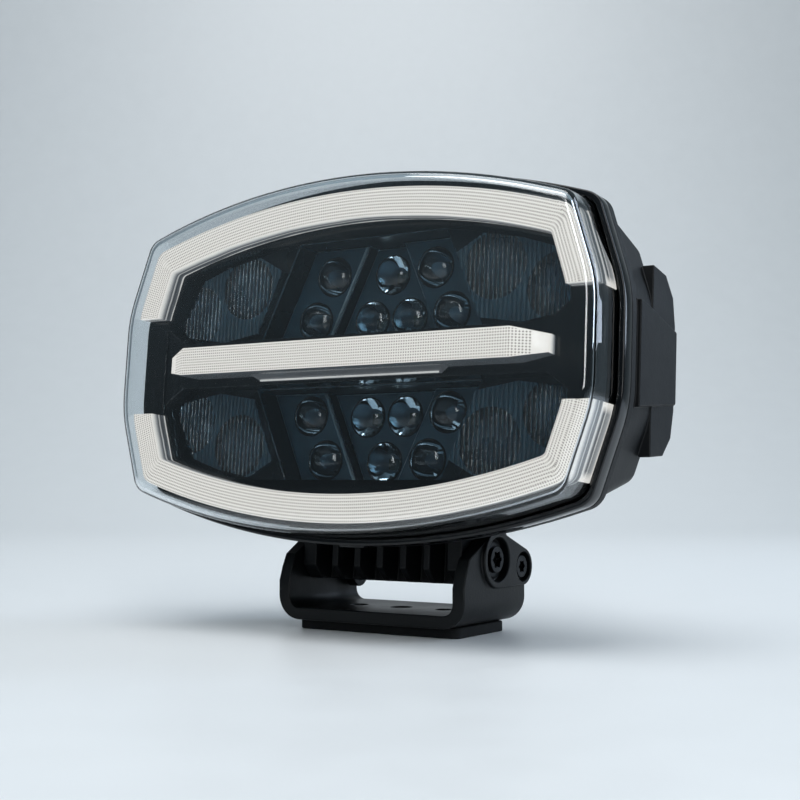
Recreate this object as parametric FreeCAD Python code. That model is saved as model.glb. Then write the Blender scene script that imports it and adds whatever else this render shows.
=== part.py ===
import FreeCAD, Part
import math
import os

# Oval LED driving light on a U bracket, in millimetres.
# X runs across the lamp, the beam leaves along -Y, Z is up.
# The origin is on the mounting hole's axis, at the underside of the rubber pad.

V = FreeCAD.Vector

# Foot of the housing: ribs between two cheeks, held by the bracket's ears over washers
RIB_PITCH = 13.33
RIB_T = 3.6
RIB_COUNT = 7
CHEEK_T = 6.0
FOOT_X = RIB_PITCH * (RIB_COUNT - 1) / 2 + CHEEK_T
FOOT_DROP = 12.5
WASHER_T = 1.0
EAR_T = 6.5
EAR_OUT = FOOT_X + WASHER_T + EAR_T

# Stand: pad, bracket, pivot
PAD_T = 5.0
PAD_HALF_X = 46.0
PAD_HALF_Y = 23.0
BASE_T = 6.0
EAR_BEND_R = 12.0
BRACKET_HALF_Y = 29.5
EAR_DROP = 12.0
EAR_LEAN = [(2.5, -5.0), (5.5, 1.0)]
BOSS_RISE = 2.0
PIVOT_H = 36.0
PIVOT_BOSS_R = 13.5
PIVOT_RECESS_R = 10.6
LOCK_Y = 25.0
LOCK_H = 31.5
LOCK_BOSS_R = 9.0
LOCK_RECESS_R = 7.2
RECESS_DEPTH = 4.5
MOUNT_R = 5.25
SIDE_HOLE_R = 4.25
SIDE_HOLE_X = 25.0

# Fasteners of the stand
PIVOT_SHANK_R = 5.0
RUNNING_FIT = 0.06
PIVOT_THREAD_R = 4.0
PIVOT_HEAD_R = 8.4
PIVOT_HEAD_H = 3.6
LOCK_SHANK_R = 3.0
LOCK_HEAD_R = 5.4
LOCK_HEAD_H = 3.4
LOCK_NUT_R = 5.6
LOCK_NUT_H = 4.0
SLOT_CLEAR = 0.5
SLOT_SPARE = 1.0
SLOT_WALL = 3.2

# Head frame: its origin is the centre of the light guides' front faces, and its axes
# are the lamp's own, before the head is leaned back on the pivot.
HEAD_TILT = 4.7
PIVOT_Y = 60.2
PIVOT_Z = -91.7
TILT_DOWN = 15.0
TILT_UP = 10.0

# Lens outline at its front fold
HALF_W = 133.0
SIDE_Z = 25.0
SIDE_SLOPE = math.atan(0.3286)
SIDE_R = 60.0
APEX = 84.4
ARC_R = 370.0
CORNER_R = 9.0

# Lens, frame and seal
LENS_T = 2.5
LENS_FRONT = -12.0
LENS_SAG_R = 2400.0
LENS_EDGE_R = 6.0
LENS_GROW = -0.8
FLANGE_GROW = -2.0
FLANGE_FRONT = 18.0
LENS_BACK = 20.0
SEAL_T = 1.5
FRAME_FRONT = 15.0
FRAME_BACK = 23.0
FRAME_GROW = -4.0
FRAME_FIT = 0.2

# Light guides and bar
GUIDE_IN = 3.2
GUIDE_DROP = 2.6
GUIDE_WIDE = 15.7
GUIDE_WIDE_DROP = 3.4
GUIDE_END_Z = 24.8
GUIDE_FACE_T = 4.0
GUIDE_LEG_T = 2.0
GUIDE_BACK = 10.2
RETURN_BACK = 20.0
RETURN_T = 3.0
RETURN_TOP_Z = 58.0
RETURN_REACH = 33.0
BOARD_T = 1.2
BAR_FRONT = -5.3
BAR_TIP_Y = 3.9
BAR_SHOULDER_X = 93.0
BAR_TIP_X = 108.0
BAR_HALF_H = 7.0
BAR_TIP_HALF_H = 4.2
BAR_BACK = 9.0
CHIN_TOP = 6.0
CHIN_TOP_X = 56.0
CHIN_TOP_Y = 1.0
CHIN_LOW = 9.8
CHIN_LOW_X = 51.5
CHIN_LOW_Y = 8.0
BEAM_FIT = 0.3
BEAM_FLARE = 11.5
BEAM_HALF_H = 11.4
BEAM_END_HALF_H = 20.0
BEAM_WALL = 3.0

# Bezel and optics carrier
BEZEL_BACK = 22.0
BEZEL_OPEN = 17.2
BEZEL_OPEN_DROP = 3.6
BEZEL_BAND_Y = 7.8
CARRIER_T = 2.0
LEVEL_PAIR = 37.0
LEVEL_TRIO = 45.0
ROW_FOOT_Z = 12.0
ROW_TOP_Z = 61.0
ROW_LEAN = 0.443
PAIR_EDGE_X = 64.5
TRIO_EDGE_X = 32.0
TILE_T = 2.0
TILE_GAP = 0.4
DOME_R = 10.0
DOME_H = 5.6
TRIO_DOMES = [(-11.0, 24.3), (11.0, 24.3), (0.0, 46.8)]
PAIR_DOMES = [(40.0, 24.0), (29.8, 46.4)]
OUTER_BOWL_IN = 29.0
BOWLS = [(74.0, 40.5), (HALF_W - OUTER_BOWL_IN, 28.0)]
BOWL_R = 12.6
BOWL_NECK_R = 3.2
BOWL_T = 1.2
BOWL_BACK = 48.0
COVER_T = 4.0
FLUTE_PITCH = 2.4
FLUTE_DEPTH = 0.9
CELL_IN = 18.0
CELL_X = HALF_W - CELL_IN
CELL = [(64.0, 16.8), (50.8, 48.0), (65.5, 56.0), (86.0, 51.8), (CELL_X - 13.0, 46.4), (CELL_X - 0.5, 23.6),
        (CELL_X - 3.5, 17.3), (86.0, 13.2)]

# Electronics
LED_BOARD_Y = 52.0
LED_BOARD_T = 1.6
LED_SIZE = 3.4
LED_H = 0.8
CHIP = 1.6
CHIP_H = 0.7

# Housing
BODY_FRONT = 28.0
BODY_BACK = 62.0
FLOOR_BACK = 57.0
BODY_GROW = -1.0
BODY_IN = 1.5
BODY_DROP = 8.0
WALL_T = 3.0
POST_R = 4.0
POSTS = [(-88.0, 56.0), (88.0, 56.0), (-88.0, -56.0), (88.0, -56.0)]
FIN_T = 2.6
FIN_PITCH = 7.8
FIN_FIRST_X = 62.0
FIN_COUNT = 8
FIN_BACK = 84.0
END_IN = 1.0
END_T = 6.0
END_X1 = HALF_W - END_IN
END_X0 = END_X1 - END_T
POD_RISE = 3.5
POD_X = END_X1 + POD_RISE
BOX_X = 54.0
BOX_Z = 36.0
BOX_WALL = 4.0
BOX_BACK = 86.0
COVER_PLATE_T = 3.0
COVER_SEAL_T = 1.0
DRIVER_Y = 70.0
GLAND_Y = 74.0
GLAND_R = 6.0
VENT_X = 30.0


def box(x0, x1, y0, y1, z0, z1):
    return Part.makeBox(x1 - x0, y1 - y0, z1 - z0, V(x0, y0, z0))


def cyl_y(x, z, r, y0, y1):
    return Part.makeCylinder(r, y1 - y0, V(x, y0, z), V(0, 1, 0))


def cyl_x(y, z, r, x0, x1):
    return Part.makeCylinder(r, x1 - x0, V(x0, y, z), V(1, 0, 0))


def cyl_z(x, y, r, z0, z1):
    return Part.makeCylinder(r, z1 - z0, V(x, y, z0), V(0, 0, 1))


def cone_y(x, z, r0, r1, y0, y1):
    return Part.makeCone(r0, r1, y1 - y0, V(x, y0, z), V(0, 1, 0))


def prism(points, along):
    wire = Part.makePolygon(points + [points[0]])
    return Part.Face(wire).extrude(along)


def prism_y(points, y0, y1):
    return prism([V(x, y0, z) for x, z in points], V(0, y1 - y0, 0))


def prism_x(points, x0, x1):
    return prism([V(x0, y, z) for y, z in points], V(x1 - x0, 0, 0))


def prism_z(points, z0, z1):
    return prism([V(x, y, z0) for x, y in points], V(0, 0, z1 - z0))


def flip_x(shape):
    return shape.mirror(V(0, 0, 0), V(1, 0, 0))


def flip_z(shape):
    return shape.mirror(V(0, 0, 0), V(0, 0, 1))


def union(shapes):
    return shapes[0].multiFuse(shapes[1:]).removeSplitter()


def outline(y, inset, drop=0.0):
    """Closed lens-shaped wire at depth y: the fold outline moved in by inset, its arcs lowered by drop."""
    a = HALF_W - inset
    n = V(math.cos(SIDE_SLOPE), 0, math.sin(SIDE_SLOPE))
    s = V(-math.sin(SIDE_SLOPE), 0, math.cos(SIDE_SLOPE))
    reach = n.x * HALF_W + n.z * SIDE_Z - inset
    vertex = V(a, 0, (reach - n.x * a) / n.z)
    rs = SIDE_R - inset
    rc = max(CORNER_R - inset * 0.4, 3.0)
    t = rs * math.tan(SIDE_SLOPE / 2)
    half = SIDE_SLOPE / 2
    p1 = V(a, 0, vertex.z - t)
    m1 = V(a - rs + rs * math.cos(half), 0, p1.z + rs * math.sin(half))
    p2 = vertex + s * t
    arc_r = ARC_R - inset
    centre = V(0, 0, APEX - ARC_R - drop)
    base = n * (reach - rc) - centre
    b = base.dot(s)
    k = -b + math.sqrt(b * b - base.dot(base) + (arc_r - rc) ** 2)
    q = n * (reach - rc) + s * k
    out = (q - centre).normalize()
    p3 = q + n * rc
    p4 = centre + out * arc_r
    m2 = q + (n + out).normalize() * rc
    apex = centre + V(0, 0, arc_r)

    def at(p, sx, sz):
        return V(p.x * sx, y, p.z * sz)

    edges = []
    for sx, sz in [(1, 1), (-1, -1)]:
        edges.append(Part.makeLine(at(p1, sx, -sz), at(p1, sx, sz)))
        edges.append(Part.Arc(at(p1, sx, sz), at(m1, sx, sz), at(p2, sx, sz)).toShape())
        edges.append(Part.makeLine(at(p2, sx, sz), at(p3, sx, sz)))
        edges.append(Part.Arc(at(p3, sx, sz), at(m2, sx, sz), at(p4, sx, sz)).toShape())
        edges.append(Part.Arc(at(p4, sx, sz), at(apex, 1, sz), at(p4, -sx, sz)).toShape())
        edges.append(Part.Arc(at(p4, -sx, sz), at(m2, -sx, sz), at(p3, -sx, sz)).toShape())
        edges.append(Part.makeLine(at(p3, -sx, sz), at(p2, -sx, sz)))
        edges.append(Part.Arc(at(p2, -sx, sz), at(m1, -sx, sz), at(p1, -sx, sz)).toShape())
    return Part.Wire(edges)


def slab(y0, y1, inset, drop=0.0):
    return Part.Face(outline(y0, inset, drop)).extrude(V(0, y1 - y0, 0))


def taper(y0, inset0, drop0, y1, inset1, drop1):
    return Part.makeLoft([outline(y0, inset0, drop0), outline(y1, inset1, drop1)], True, True)


def ring(y0, y1, outer, inner):
    return slab(y0, y1, outer).cut(slab(y0, y1, inner))


def place_head(shape):
    shape.rotate(V(0, PIVOT_Y, PIVOT_Z), V(1, 0, 0), -HEAD_TILT)
    shape.translate(V(0, -PIVOT_Y, PIVOT_H - PIVOT_Z))
    return shape


def export(shape, name):
    shape.exportStep("parts/" + name + ".step")


def export_head(shape, name):
    export(place_head(shape.copy()), name)


# Lens, frame, seal

def domed_block(inset, front, edge_r, back):
    """Lens-shaped block with a gently domed front and a rounded front edge."""
    block = taper(front - 1.0, inset, 0.0, back, inset + LENS_GROW, 0.0)
    ball = Part.makeSphere(LENS_SAG_R, V(0, front + LENS_SAG_R, 0))
    block = block.common(ball)
    rim = [e for e in block.Edges if e.BoundBox.YMax < front + 8.0]
    return block.makeFillet(edge_r, rim)


def outer_lens():
    shell = domed_block(0.0, LENS_FRONT, LENS_EDGE_R, LENS_BACK)
    hollow = domed_block(LENS_T, LENS_FRONT + LENS_T, LENS_EDGE_R - LENS_T, LENS_BACK + 2.0)
    flange = ring(FLANGE_FRONT, LENS_BACK, FLANGE_GROW, LENS_T * 0.5)
    return union([shell.cut(hollow), flange.cut(hollow)])


def lens_seal():
    return ring(LENS_BACK, LENS_BACK + SEAL_T, FLANGE_GROW, 1.6)


def lens_frame():
    skirt = ring(FRAME_FRONT, FRAME_BACK, FRAME_GROW, FLANGE_GROW - FRAME_FIT)
    lip = ring(FRAME_FRONT, FLANGE_FRONT, FRAME_GROW, LENS_GROW - FRAME_FIT)
    low = -APEX + FRAME_GROW
    tab = box(-7.0, 7.0, FRAME_FRONT + 2.0, FRAME_BACK - 1.0, low - 0.8, low + 1.0)
    return union([skirt, lip, tab])


# Light guides and bar

def guide_block(inset_out, inset_in, y0, y1, end_z):
    band = slab(y0, y1, inset_out, GUIDE_DROP).cut(slab(y0, y1, inset_in, GUIDE_WIDE_DROP))
    return band.common(box(-HALF_W, HALF_W, y0, y1, end_z, APEX))


def guide_return():
    strip = ring(GUIDE_BACK - 1.0, RETURN_BACK, GUIDE_IN, GUIDE_IN + RETURN_T)
    right = strip.common(box(HALF_W - RETURN_REACH, HALF_W, 0.0, RETURN_BACK, GUIDE_END_Z, RETURN_TOP_Z))
    return [right, flip_x(right)]


def guide_outer():
    return guide_block(GUIDE_IN, GUIDE_WIDE, 0.0, GUIDE_BACK, GUIDE_END_Z)


def light_guide():
    """Upper C-shaped guide: a face on two legs, with a return down each side wall."""
    hollow = guide_block(GUIDE_IN + GUIDE_LEG_T, GUIDE_WIDE - GUIDE_LEG_T, GUIDE_FACE_T, GUIDE_BACK,
                         GUIDE_END_Z + GUIDE_LEG_T)
    body = union([guide_outer()] + guide_return())
    return body.cut(hollow)


def guide_board():
    gap = GUIDE_LEG_T + 0.3
    return guide_block(GUIDE_IN + gap, GUIDE_WIDE - gap, GUIDE_BACK - BOARD_T, GUIDE_BACK, GUIDE_END_Z + gap)


def guide_chip_spots():
    """Chip places along the middle of the upper band: over the arc, then down each slanted side."""
    mid = (GUIDE_IN + GUIDE_WIDE) / 2
    arc_r = ARC_R - mid
    centre_z = APEX - ARC_R - (GUIDE_DROP + GUIDE_WIDE_DROP) / 2
    spots = []
    for i in range(-8, 9):
        x = i * 12.4
        spots.append((x, centre_z + math.sqrt(arc_r * arc_r - x * x)))
    for z in (48.0, 40.0, 32.0):
        x = HALF_W - mid / math.cos(SIDE_SLOPE) - (z - SIDE_Z) * math.tan(SIDE_SLOPE)
        spots += [(x, z), (-x, z)]
    return spots


def bar_block(grow):
    plan = [(-BAR_TIP_X - grow, BAR_TIP_Y - grow), (-BAR_SHOULDER_X - grow * 0.5, BAR_FRONT - grow),
            (BAR_SHOULDER_X + grow * 0.5, BAR_FRONT - grow), (BAR_TIP_X + grow, BAR_TIP_Y - grow),
            (BAR_TIP_X + grow, BAR_BACK), (-BAR_TIP_X - grow, BAR_BACK)]
    h = BAR_HALF_H + grow
    tip = BAR_TIP_HALF_H + grow
    face = [(-BAR_TIP_X - grow, -tip), (-BAR_SHOULDER_X, -h), (BAR_SHOULDER_X, -h), (BAR_TIP_X + grow, -tip),
            (BAR_TIP_X + grow, tip), (BAR_SHOULDER_X, h), (-BAR_SHOULDER_X, h), (-BAR_TIP_X - grow, tip)]
    return prism_z(plan, -h, h).common(prism_y(face, BAR_FRONT - grow, BAR_BACK))


def light_bar():
    """Hollow bar with a sloping chin under its middle."""
    top, low = -CHIN_TOP, -CHIN_LOW
    side = [(CHIN_TOP_Y, top), (CHIN_LOW_Y, low), (BAR_BACK, low), (BAR_BACK, top)]
    front = [(-CHIN_TOP_X, top), (CHIN_TOP_X, top), (CHIN_LOW_X, low), (-CHIN_LOW_X, low)]
    chin = prism_x(side, -CHIN_TOP_X, CHIN_TOP_X).common(prism_y(front, CHIN_TOP_Y, BAR_BACK))
    hollow = bar_block(-2.2).common(box(-BAR_TIP_X, BAR_TIP_X, -1.0, BAR_BACK, -BAR_HALF_H, BAR_HALF_H))
    return union([bar_block(0.0), chin]).cut(hollow)


def bar_board():
    return box(-98.0, 98.0, BAR_BACK - BOARD_T, BAR_BACK, -3.6, 3.6)


def bar_chip_spots():
    return [(i * 12.0, 0.0) for i in range(-8, 9)]


def bar_beam():
    """Dark beam behind the bar, widening at both ends to meet the bezel's sides."""
    end = HALF_W - BEZEL_OPEN - BEAM_FIT
    neck = end - BEAM_FLARE
    h = BEAM_HALF_H
    wide = BEAM_END_HALF_H
    face = [(-end, -wide), (-neck, -h), (neck, -h), (end, -wide), (end, wide), (neck, h), (-neck, h),
            (-end, wide)]
    beam = prism_y(face, BAR_BACK, BEZEL_BACK)
    core_x = neck - BEAM_WALL
    core_z = h - BEAM_WALL
    return beam.cut(box(-core_x, core_x, BAR_BACK + BEAM_WALL, BEZEL_BACK, -core_z, core_z))


# Bezel and optics

def front_bezel():
    """Black ring behind the guides, with a raised band on each side between the guides' ends."""
    body = slab(BEZEL_BAND_Y, BEZEL_BACK, GUIDE_IN)
    body = body.cut(slab(BEZEL_BAND_Y, BEZEL_BACK, BEZEL_OPEN, BEZEL_OPEN_DROP))
    upper = union([guide_outer()] + guide_return())
    step = box(-HALF_W, HALF_W, BEZEL_BAND_Y, GUIDE_BACK, GUIDE_END_Z, APEX)
    body = body.cut(upper).cut(flip_z(upper)).cut(step).cut(flip_z(step))
    for x, z in POSTS:
        body = body.cut(cyl_y(x, z, 3.6, BEZEL_BACK - 2.4, BEZEL_BACK))
    return body


def row_shape(edge_x, grow):
    """Trapezium of the upper optics row whose sides lean inwards going up."""
    foot = edge_x + grow
    lean = ROW_LEAN * (ROW_TOP_Z - ROW_FOOT_Z)
    return [(-foot, ROW_FOOT_Z - grow), (foot, ROW_FOOT_Z - grow),
            (foot - lean, ROW_TOP_Z + grow), (lean - foot, ROW_TOP_Z + grow)]


def all_domes():
    spots = [(x, z, LEVEL_TRIO) for x, z in TRIO_DOMES]
    for x, z in PAIR_DOMES:
        spots += [(x, z, LEVEL_PAIR), (-x, z, LEVEL_PAIR)]
    return spots


def all_bowls():
    return [(x * sx, z) for x, z in BOWLS for sx in (1, -1)]


def optics_carrier():
    """Stepped plate: outer cells in front, lens pairs deeper, the middle trio deepest."""
    plate = slab(BEZEL_BACK, BEZEL_BACK + CARRIER_T, 6.0)
    add = []
    cuts = []
    for turn in (lambda s: s, flip_z):
        add.append(turn(prism_y(row_shape(PAIR_EDGE_X, CARRIER_T), BEZEL_BACK, LEVEL_PAIR + CARRIER_T)))
        add.append(turn(prism_y(row_shape(TRIO_EDGE_X, CARRIER_T), LEVEL_PAIR, LEVEL_TRIO + CARRIER_T)))
        cuts.append(turn(prism_y(row_shape(PAIR_EDGE_X, 0.0), BEZEL_BACK, LEVEL_PAIR)))
        cuts.append(turn(prism_y(row_shape(TRIO_EDGE_X, 0.0), BEZEL_BACK, LEVEL_TRIO)))
        for x, z, level in all_domes():
            cuts.append(turn(cyl_y(x, z, DOME_R - 0.6, level, level + CARRIER_T)))
        for x, z in all_bowls():
            cuts.append(turn(cyl_y(x, z, BOWL_R, BEZEL_BACK, BEZEL_BACK + CARRIER_T)))
    body = union([plate] + add)
    for c in cuts:
        body = body.cut(c)
    for x, z in POSTS:
        body = body.cut(cyl_y(x, z, 1.8, BEZEL_BACK, BEZEL_BACK + CARRIER_T))
    return body


def lens_dome(x, z, level):
    """Domed front, plus the collimator cone that runs back to the chip."""
    ball_r = (DOME_R ** 2 + DOME_H ** 2) / (2 * DOME_H)
    front = level - TILE_T
    cap = Part.makeSphere(ball_r, V(x, front - DOME_H + ball_r, z))
    cap = cap.common(cyl_y(x, z, DOME_R, front - DOME_H - 1.0, front + 0.5))
    tail = LED_BOARD_Y - LED_BOARD_T - LED_H - 0.4
    cone = cone_y(x, z, DOME_R - 1.0, 3.4, level - 0.5, tail)
    return [cap, cone]


def tile(points, level, spots):
    body = prism_y(points, level - TILE_T, level)
    parts = [body]
    for x, z in spots:
        parts += lens_dome(x, z, level)
    return union(parts)


def trio_tile():
    return tile(row_shape(TRIO_EDGE_X, -TILE_GAP), LEVEL_TRIO, TRIO_DOMES)


def pair_tile():
    g = TILE_GAP
    lean = ROW_LEAN * (ROW_TOP_Z - ROW_FOOT_Z)
    points = [(TRIO_EDGE_X + g, ROW_FOOT_Z + g), (PAIR_EDGE_X - g, ROW_FOOT_Z + g),
              (PAIR_EDGE_X - g - lean, ROW_TOP_Z - g), (TRIO_EDGE_X + g - lean, ROW_TOP_Z - g)]
    return tile(points, LEVEL_PAIR, PAIR_DOMES)


def ribbed_cover():
    """Clear cover of an outer cell with upright flutes on its face."""
    y1 = BEZEL_BACK
    y0 = y1 - COVER_T
    x_first = min(p[0] for p in CELL)
    count = int((max(p[0] for p in CELL) - x_first) / FLUTE_PITCH) + 1
    plan = []
    for i in range(count):
        x = x_first + i * FLUTE_PITCH
        plan += [(x, y0 + FLUTE_DEPTH), (x + FLUTE_PITCH / 2, y0)]
    x_end = x_first + count * FLUTE_PITCH
    plan += [(x_end, y0 + FLUTE_DEPTH), (x_end, y1), (x_first, y1)]
    return prism_z(plan, 0.0, APEX).common(prism_y(CELL, y0, y1))


def reflector():
    """Two bright bowls joined by a thin flange behind the carrier."""
    y0 = BEZEL_BACK + CARRIER_T
    flange_pts = [(65.0, 26.0), (58.0, 46.0), (68.0, 55.0), (82.0, 50.5), (CELL_X - 9.0, 42.0),
                  (CELL_X + 3.0, 28.5), (CELL_X - 2.0, 13.0), (92.0, 14.0)]
    parts = [prism_y(flange_pts, y0, y0 + BOWL_T)]
    cuts = []
    for x, z in BOWLS:
        parts.append(bowl(x, z, BOWL_R + BOWL_T, BOWL_NECK_R + BOWL_T, y0))
        cuts.append(bowl(x, z, BOWL_R, BOWL_NECK_R, y0))
    body = union(parts)
    for c in cuts:
        body = body.cut(c)
    return body


def bowl(x, z, mouth_r, neck_r, y0):
    """Solid paraboloid from its mouth at y0 back to its neck."""
    depth = BOWL_BACK - y0
    mid_r = math.sqrt((mouth_r ** 2 + neck_r ** 2) / 2)
    mouth = V(x + mouth_r, y0, z)
    middle = V(x + mid_r, y0 + depth / 2, z)
    neck = V(x + neck_r, BOWL_BACK, z)
    curve = Part.Arc(mouth, middle, neck).toShape()
    edges = [curve, Part.makeLine(neck, V(x, BOWL_BACK, z)), Part.makeLine(V(x, BOWL_BACK, z), V(x, y0, z)),
             Part.makeLine(V(x, y0, z), mouth)]
    return Part.Face(Part.Wire(edges)).revolve(V(x, y0, z), V(0, 1, 0), 360)


# Electronics

def led_board():
    board = slab(LED_BOARD_Y - LED_BOARD_T, LED_BOARD_Y, 12.0, 8.0)
    for x, z in POSTS:
        board = board.cut(cyl_y(x, z, POST_R + 1.5, LED_BOARD_Y - LED_BOARD_T, LED_BOARD_Y))
    return board


def power_leds():
    y1 = LED_BOARD_Y - LED_BOARD_T
    h = LED_SIZE / 2
    spots = [(x, z) for x, z, level in all_domes()] + all_bowls()
    spots += [(x, -z) for x, z in spots]
    return Part.makeCompound([box(x - h, x + h, y1 - LED_H, y1, z - h, z + h) for x, z in spots])


def chips(spots, y1):
    h = CHIP / 2
    return [box(x - h, x + h, y1 - CHIP_H, y1, z - h, z + h) for x, z in spots]


def guide_chips():
    upper = guide_chip_spots()
    lower = [(x, -z) for x, z in upper]
    bar = chips(bar_chip_spots(), BAR_BACK - BOARD_T)
    return Part.makeCompound(chips(upper + lower, GUIDE_BACK - BOARD_T) + bar)


def driver_board():
    return box(-42.0, 42.0, DRIVER_Y, DRIVER_Y + LED_BOARD_T, -25.0, 25.0)


def driver_parts():
    """Coils, capacitors and a switching chip on the driver board."""
    y0 = DRIVER_Y + LED_BOARD_T
    parts = [cyl_y(-24.0, 8.0, 8.0, y0, y0 + 7.0), cyl_y(-4.0, 8.0, 8.0, y0, y0 + 7.0)]
    for x in (14.0, 24.0, 34.0):
        parts.append(cyl_y(x, 12.0, 4.0, y0, y0 + 9.0))
    parts.append(box(8.0, 22.0, y0, y0 + 2.0, -16.0, -6.0))
    parts.append(box(-30.0, -22.0, y0, y0 + 2.2, -18.0, -10.0))
    return Part.makeCompound(parts)


# Housing

def end_plate():
    """End wall of the fin pack with its corners taken off, carrying the side pod."""
    shape = [(FLOOR_BACK, -44.0), (72.0, -42.0), (81.0, -33.0), (FIN_BACK, -20.0),
             (FIN_BACK, 20.0), (81.0, 33.0), (72.0, 42.0), (FLOOR_BACK, 44.0)]
    wall = prism_x(shape, END_X0, END_X1)
    pod = prism_x([(36.0, -24.0), (FIN_BACK, -17.0), (FIN_BACK, 17.0), (36.0, 24.0)], END_X0, POD_X)
    pod = pod.cut(prism_z([(POD_X, 30.0), (POD_X + 1.0, 30.0), (POD_X + 1.0, 90.0), (POD_X - 3.0, 90.0),
                           (POD_X, 46.0)], -30.0, 30.0))
    return [wall, pod]


def fin(x):
    """One upright cooling fin; its ends slope in towards the back."""
    root = 66.0 - (x - FIN_FIRST_X) * 0.26
    shape = [(FLOOR_BACK - 1.0, -root), (70.0, -root + 3.0), (FIN_BACK - 3.0, -root + 22.0),
             (FIN_BACK, -root + 30.0), (FIN_BACK, root - 30.0), (FIN_BACK - 3.0, root - 22.0),
             (70.0, root - 3.0), (FLOOR_BACK - 1.0, root)]
    return prism_x(shape, x - FIN_T / 2, x + FIN_T / 2)


def middle_fin(x):
    """Short fin above or below the driver box."""
    shape = [(FLOOR_BACK - 1.0, BOX_Z - 1.0), (78.0, BOX_Z - 1.0), (70.0, 60.0), (FLOOR_BACK - 1.0, 65.0)]
    return prism_x(shape, x - FIN_T / 2, x + FIN_T / 2)


def foot_shape(points):
    return [(PIVOT_Y + u, PIVOT_Z + w) for u, w in points]


def lock_slot_polar():
    """Radius and end angles of the arc the lock bolt takes through the cheek."""
    dy = LOCK_Y
    dz = LOCK_H - PIVOT_H
    rest = math.degrees(math.atan2(dz, dy)) + HEAD_TILT
    return math.hypot(dy, dz), rest - TILT_DOWN - SLOT_SPARE, rest + TILT_UP + SLOT_SPARE


def lock_arc(x0, x1, w):
    """Curved bar of half width w along the lock bolt's arc, with round ends."""
    r, low, high = lock_slot_polar()
    outer = Part.makeCylinder(r + w, x1 - x0, V(x0, PIVOT_Y, PIVOT_Z), V(1, 0, 0), 360)
    inner = Part.makeCylinder(r - w, x1 - x0, V(x0, PIVOT_Y, PIVOT_Z), V(1, 0, 0), 360)
    reach = 80.0
    a = math.radians(low)
    b = math.radians(high)
    wedge = prism_x(foot_shape([(0.0, 0.0), (reach * math.cos(a), reach * math.sin(a)),
                                (reach * math.cos(b), reach * math.sin(b))]), x0, x1)
    parts = [outer.cut(inner).common(wedge)]
    for ang in (a, b):
        parts.append(cyl_x(PIVOT_Y + r * math.cos(ang), PIVOT_Z + r * math.sin(ang), w, x0, x1))
    return union(parts)


def foot():
    """Ribbed foot under the body with a cheek at each end for the pivot and the lock slot."""
    d = FOOT_DROP
    cheek_pts = [(-19.0, 26.0), (-19.0, -6.0), (-12.0, -d), (10.0, -d), (24.0, -d),
                 (30.0, 3.0), (30.0, 8.0), (22.0, 15.0), (10.0, 22.0), (4.0, 34.0), (-6.0, 34.0)]
    cheek = prism_x(foot_shape(cheek_pts), FOOT_X - CHEEK_T, FOOT_X)
    slot_w = LOCK_SHANK_R + SLOT_CLEAR
    x0 = FOOT_X - CHEEK_T
    cheek = union([cheek, lock_arc(x0, FOOT_X, slot_w + SLOT_WALL)])
    cheek = cheek.cut(lock_arc(x0, FOOT_X, slot_w))
    block = foot_shape([(-5.0, 30.0), (-5.0, -d), (10.0, -d), (12.0, -10.0), (4.0, 30.0)])
    block = prism_x(block, -FOOT_X + 1.0, FOOT_X - 1.0)
    parts = [cheek, flip_x(cheek), block]
    rib_pts = [(-4.0, -d), (-12.0, -d), (-19.0, -6.0), (-19.0, 20.0), (-4.0, 20.0)]
    for i in range(RIB_COUNT):
        x = (i - (RIB_COUNT - 1) / 2) * RIB_PITCH
        parts.append(prism_x(foot_shape(rib_pts), x - RIB_T / 2, x + RIB_T / 2))
    return parts


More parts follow.
